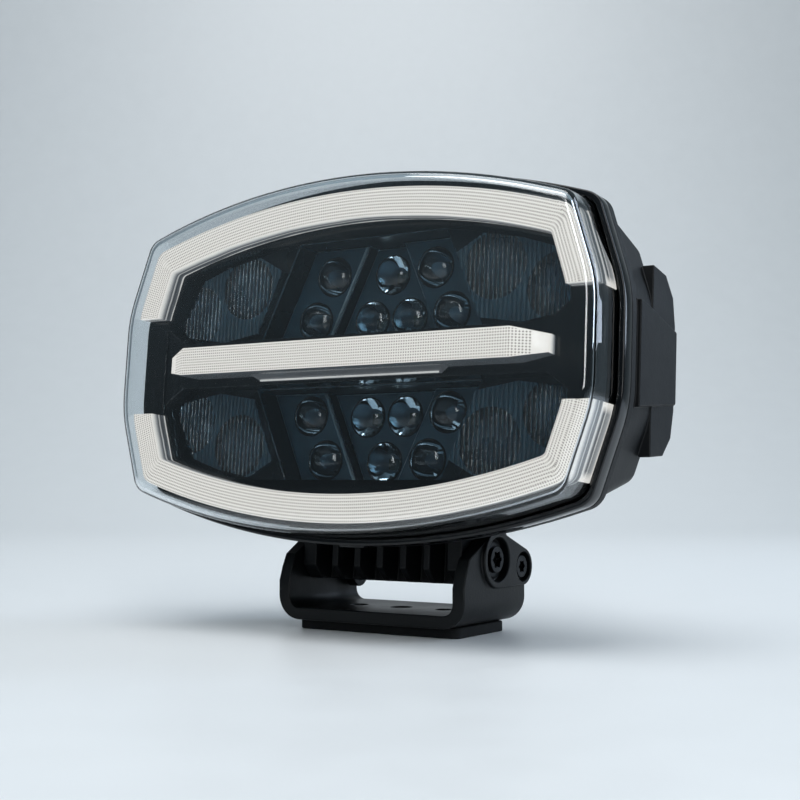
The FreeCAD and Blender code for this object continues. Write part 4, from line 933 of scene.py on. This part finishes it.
class LIGHT_OT_optics(bpy.types.Operator):
    """Makes the bezel, carrier, dome lenses, ribbed covers and bowls"""
    bl_idname = "light.optics"
    bl_label = "Optics"

    def execute(self, context):
        eased_copy("front_bezel", "bezel_moulding", "head", "gloss_black", MOULD_EDGE)
        # The carrier's eased rims take a paler painted highlight.
        eased_copy("optics_carrier", "carrier_moulding", "head", "carrier_black", MOULD_EDGE,
                   rim="carrier_rim_painted_highlight")
        for level, sz in [("upper", 1.0), ("lower", -1.0)]:
            optic_tile(level + "_trio_lens", level + "_trio_optic", TRIO_FACE)
            for side, sx in [("left", -1.0), ("right", 1.0)]:
                place = level + "_" + side
                optic_tile(place + "_pair_lens", place + "_pair_optic", PAIR_FACE)
                eased_copy(place + "_reflector", place + "_bowl", "head", "reflector_bright")
                ribbed_cover(place + "_fluted_cover", place + "_ribbed_cover", sx, sz)
        dome_collars()
        return {"FINISHED"}


class LIGHT_OT_electronics(bpy.types.Operator):
    """Finishes the boards, diodes and driver parts"""
    bl_idname = "light.electronics"
    bl_label = "Boards and diodes"

    def execute(self, context):
        dress("board_white", "upper_guide_board", "lower_guide_board", "bar_board")
        dress("board_green", "driver_board")
        dress("led_yellow", "power_leds", "guide_chips")
        dress("led_board_alu", "main_led_board")
        dress("driver_dark", "driver_parts")
        dress("screw_steel", "driver_screws", "carrier_screws")
        return {"FINISHED"}


class LIGHT_OT_housing(bpy.types.Operator):
    """Makes the finned housing, its cover, vent and cable gland"""
    bl_idname = "light.housing"
    bl_label = "Housing"

    def execute(self, context):
        edge = context.scene.light_sizes.cast_edge
        eased_copy("rear_housing", "housing_casting", "head", "housing_black", edge)
        eased_copy("rear_cover", "cover_moulding", "head", "cover_black", edge)
        eased_copy("breather_vent", "vent_moulding", "head", "vent_black", SMALL_EDGE)
        eased_copy("gland_body", "gland_moulding", "head", "vent_black", SMALL_EDGE)
        eased_copy("gland_nut", "gland_cap", "head", "vent_black", SMALL_EDGE)
        eased_copy("gland_plug", "gland_stopper", "head", "seal_rubber", SMALL_EDGE)
        eased_copy("cover_screws", "cover_screw_set", "head", "screw_steel", SCREW_EDGE)
        dress("seal_rubber", "cover_seal")
        return {"FINISHED"}


class LIGHT_OT_stand(bpy.types.Operator):
    """Makes the bracket, its pad and its bolts"""
    bl_idname = "light.stand"
    bl_label = "Bracket"

    def execute(self, context):
        edge = context.scene.light_sizes.cast_edge
        eased_copy("bracket", "bracket_casting", "stand", "bracket_black", edge, 3)
        eased_copy("base_pad", "pad_moulding", "stand", "pad_rubber", MOULD_EDGE)
        eased_copy("pivot_bolts", "pivot_bolt_pair", "head", "bolt_black", SMALL_EDGE)
        eased_copy("lock_bolts", "lock_bolt_pair", "stand", "bolt_black", SMALL_EDGE)
        dress("bolt_black", "lock_nuts")
        dress("washer_nylon", "pivot_washers")
        return {"FINISHED"}


class LIGHT_OT_stage(bpy.types.Operator):
    """Makes the floor, the soft lights and the camera"""
    bl_idname = "light.stage"
    bl_label = "Studio"

    def execute(self, context):
        scene = context.scene
        # Painted studio board: an even pale grey sweep, faintly mottled.
        board = grained_finish("painted_studio_board", scene.light_colours.floor, linear("#DDE0E2"),
                               grain=0.004, bump=0.02, roughness=0.42, spread=0.04)
        bm = bmesh.new()
        bmesh.ops.create_grid(bm, x_segments=1, y_segments=1, size=SWEEP_HALF)
        bmesh.ops.translate(bm, vec=(0.0, SWEEP_FORWARD, 0.0), verts=bm.verts)
        rear = [e for e in bm.edges if all(v.co.y > 0.0 for v in e.verts)]
        raised = bmesh.ops.extrude_edge_only(bm, edges=rear)["geom"]
        bmesh.ops.translate(bm, vec=(0.0, 0.0, SWEEP_RISE), verts=verts_in(raised))
        ease(bm, rear, SWEEP_R, SWEEP_STEPS)
        bmesh.ops.rotate(bm, verts=bm.verts, matrix=Matrix.Rotation(VIEW_TURN, 3, "Z"))
        for face in bm.faces:
            face.smooth = True
        mesh = bpy.data.meshes.new("studio_sweep")
        bm.to_mesh(mesh)
        bm.free()
        mesh.materials.append(board)
        sweep = bpy.data.objects.new("studio_sweep", mesh)
        scene.collection.objects.link(sweep)

        world = bpy.data.worlds.new("studio_air")
        world.use_nodes = True
        sky = world.node_tree
        air = sky.nodes["Background"]
        way = add_node(sky, "ShaderNodeTexCoord")
        axes = add_node(sky, "ShaderNodeSeparateXYZ", [("Vector", way.outputs["Generated"])])
        height = add_node(sky, "ShaderNodeMapRange", [("Value", axes.outputs["Z"])],
                          {"From Min": 0.15, "From Max": 0.8, "To Min": 0.14, "To Max": 0.5})
        sky.links.new(height.outputs["Result"], air.inputs["Strength"])
        air.inputs["Color"].default_value = rgba(linear("#C2DAE8"))
        scene.world = world
        for name, place, aim, width, tall, power, code in SOFTBOXES:
            lamp = bpy.data.lights.new(name, "AREA")
            lamp.shape = "RECTANGLE"
            lamp.size = width
            lamp.size_y = tall
            lamp.energy = power
            lamp.color = linear(code)
            holder = bpy.data.objects.new(name, lamp)
            holder.location = place
            holder.rotation_euler = (Vector(aim) - Vector(place)).to_track_quat("-Z", "Y").to_euler()
            scene.collection.objects.link(holder)

        lens = bpy.data.cameras.new("studio_camera")
        lens.sensor_width = CAMERA_SENSOR
        lens.lens = CAMERA_LENS
        lens.clip_start = CAMERA_NEAR
        eye = bpy.data.objects.new("studio_camera", lens)
        eye.location = CAMERA_SPOT
        ahead = Vector((-math.sin(VIEW_TURN) * math.cos(VIEW_RISE), math.cos(VIEW_TURN) * math.cos(VIEW_RISE),
                        math.sin(VIEW_RISE)))
        eye.rotation_euler = ahead.to_track_quat("-Z", "Y").to_euler()
        scene.collection.objects.link(eye)
        scene.camera = eye
        scene.view_settings.view_transform = "Standard"
        return {"FINISHED"}


STEPS = (LIGHT_OT_lens, LIGHT_OT_guides, LIGHT_OT_bar, LIGHT_OT_optics, LIGHT_OT_electronics,
         LIGHT_OT_housing, LIGHT_OT_stand, LIGHT_OT_stage)


class LIGHT_PT_panel(bpy.types.Panel):
    """Lists the steps that dress the lamp"""
    bl_idname = "LIGHT_PT_panel"
    bl_label = "Driving light"
    bl_space_type = "VIEW_3D"
    bl_region_type = "UI"
    bl_category = "Driving light"

    def draw(self, context):
        for step in STEPS:
            self.layout.operator(step.bl_idname)


CLASSES = (LightSizes, LightColours) + STEPS + (LIGHT_PT_panel,)


def register():
    for cls in CLASSES:
        bpy.utils.register_class(cls)
    bpy.types.Scene.light_sizes = bpy.props.PointerProperty(type=LightSizes)
    bpy.types.Scene.light_colours = bpy.props.PointerProperty(type=LightColours)


def unregister():
    del bpy.types.Scene.light_colours
    del bpy.types.Scene.light_sizes
    for cls in reversed(CLASSES):
        bpy.utils.unregister_class(cls)


def main():
    register()
    bpy.ops.light.lens()
    bpy.ops.light.guides()
    bpy.ops.light.bar()
    bpy.ops.light.optics()
    bpy.ops.light.electronics()
    bpy.ops.light.housing()
    bpy.ops.light.stand()
    bpy.ops.light.stage()


if __name__ == "__main__":
    main()
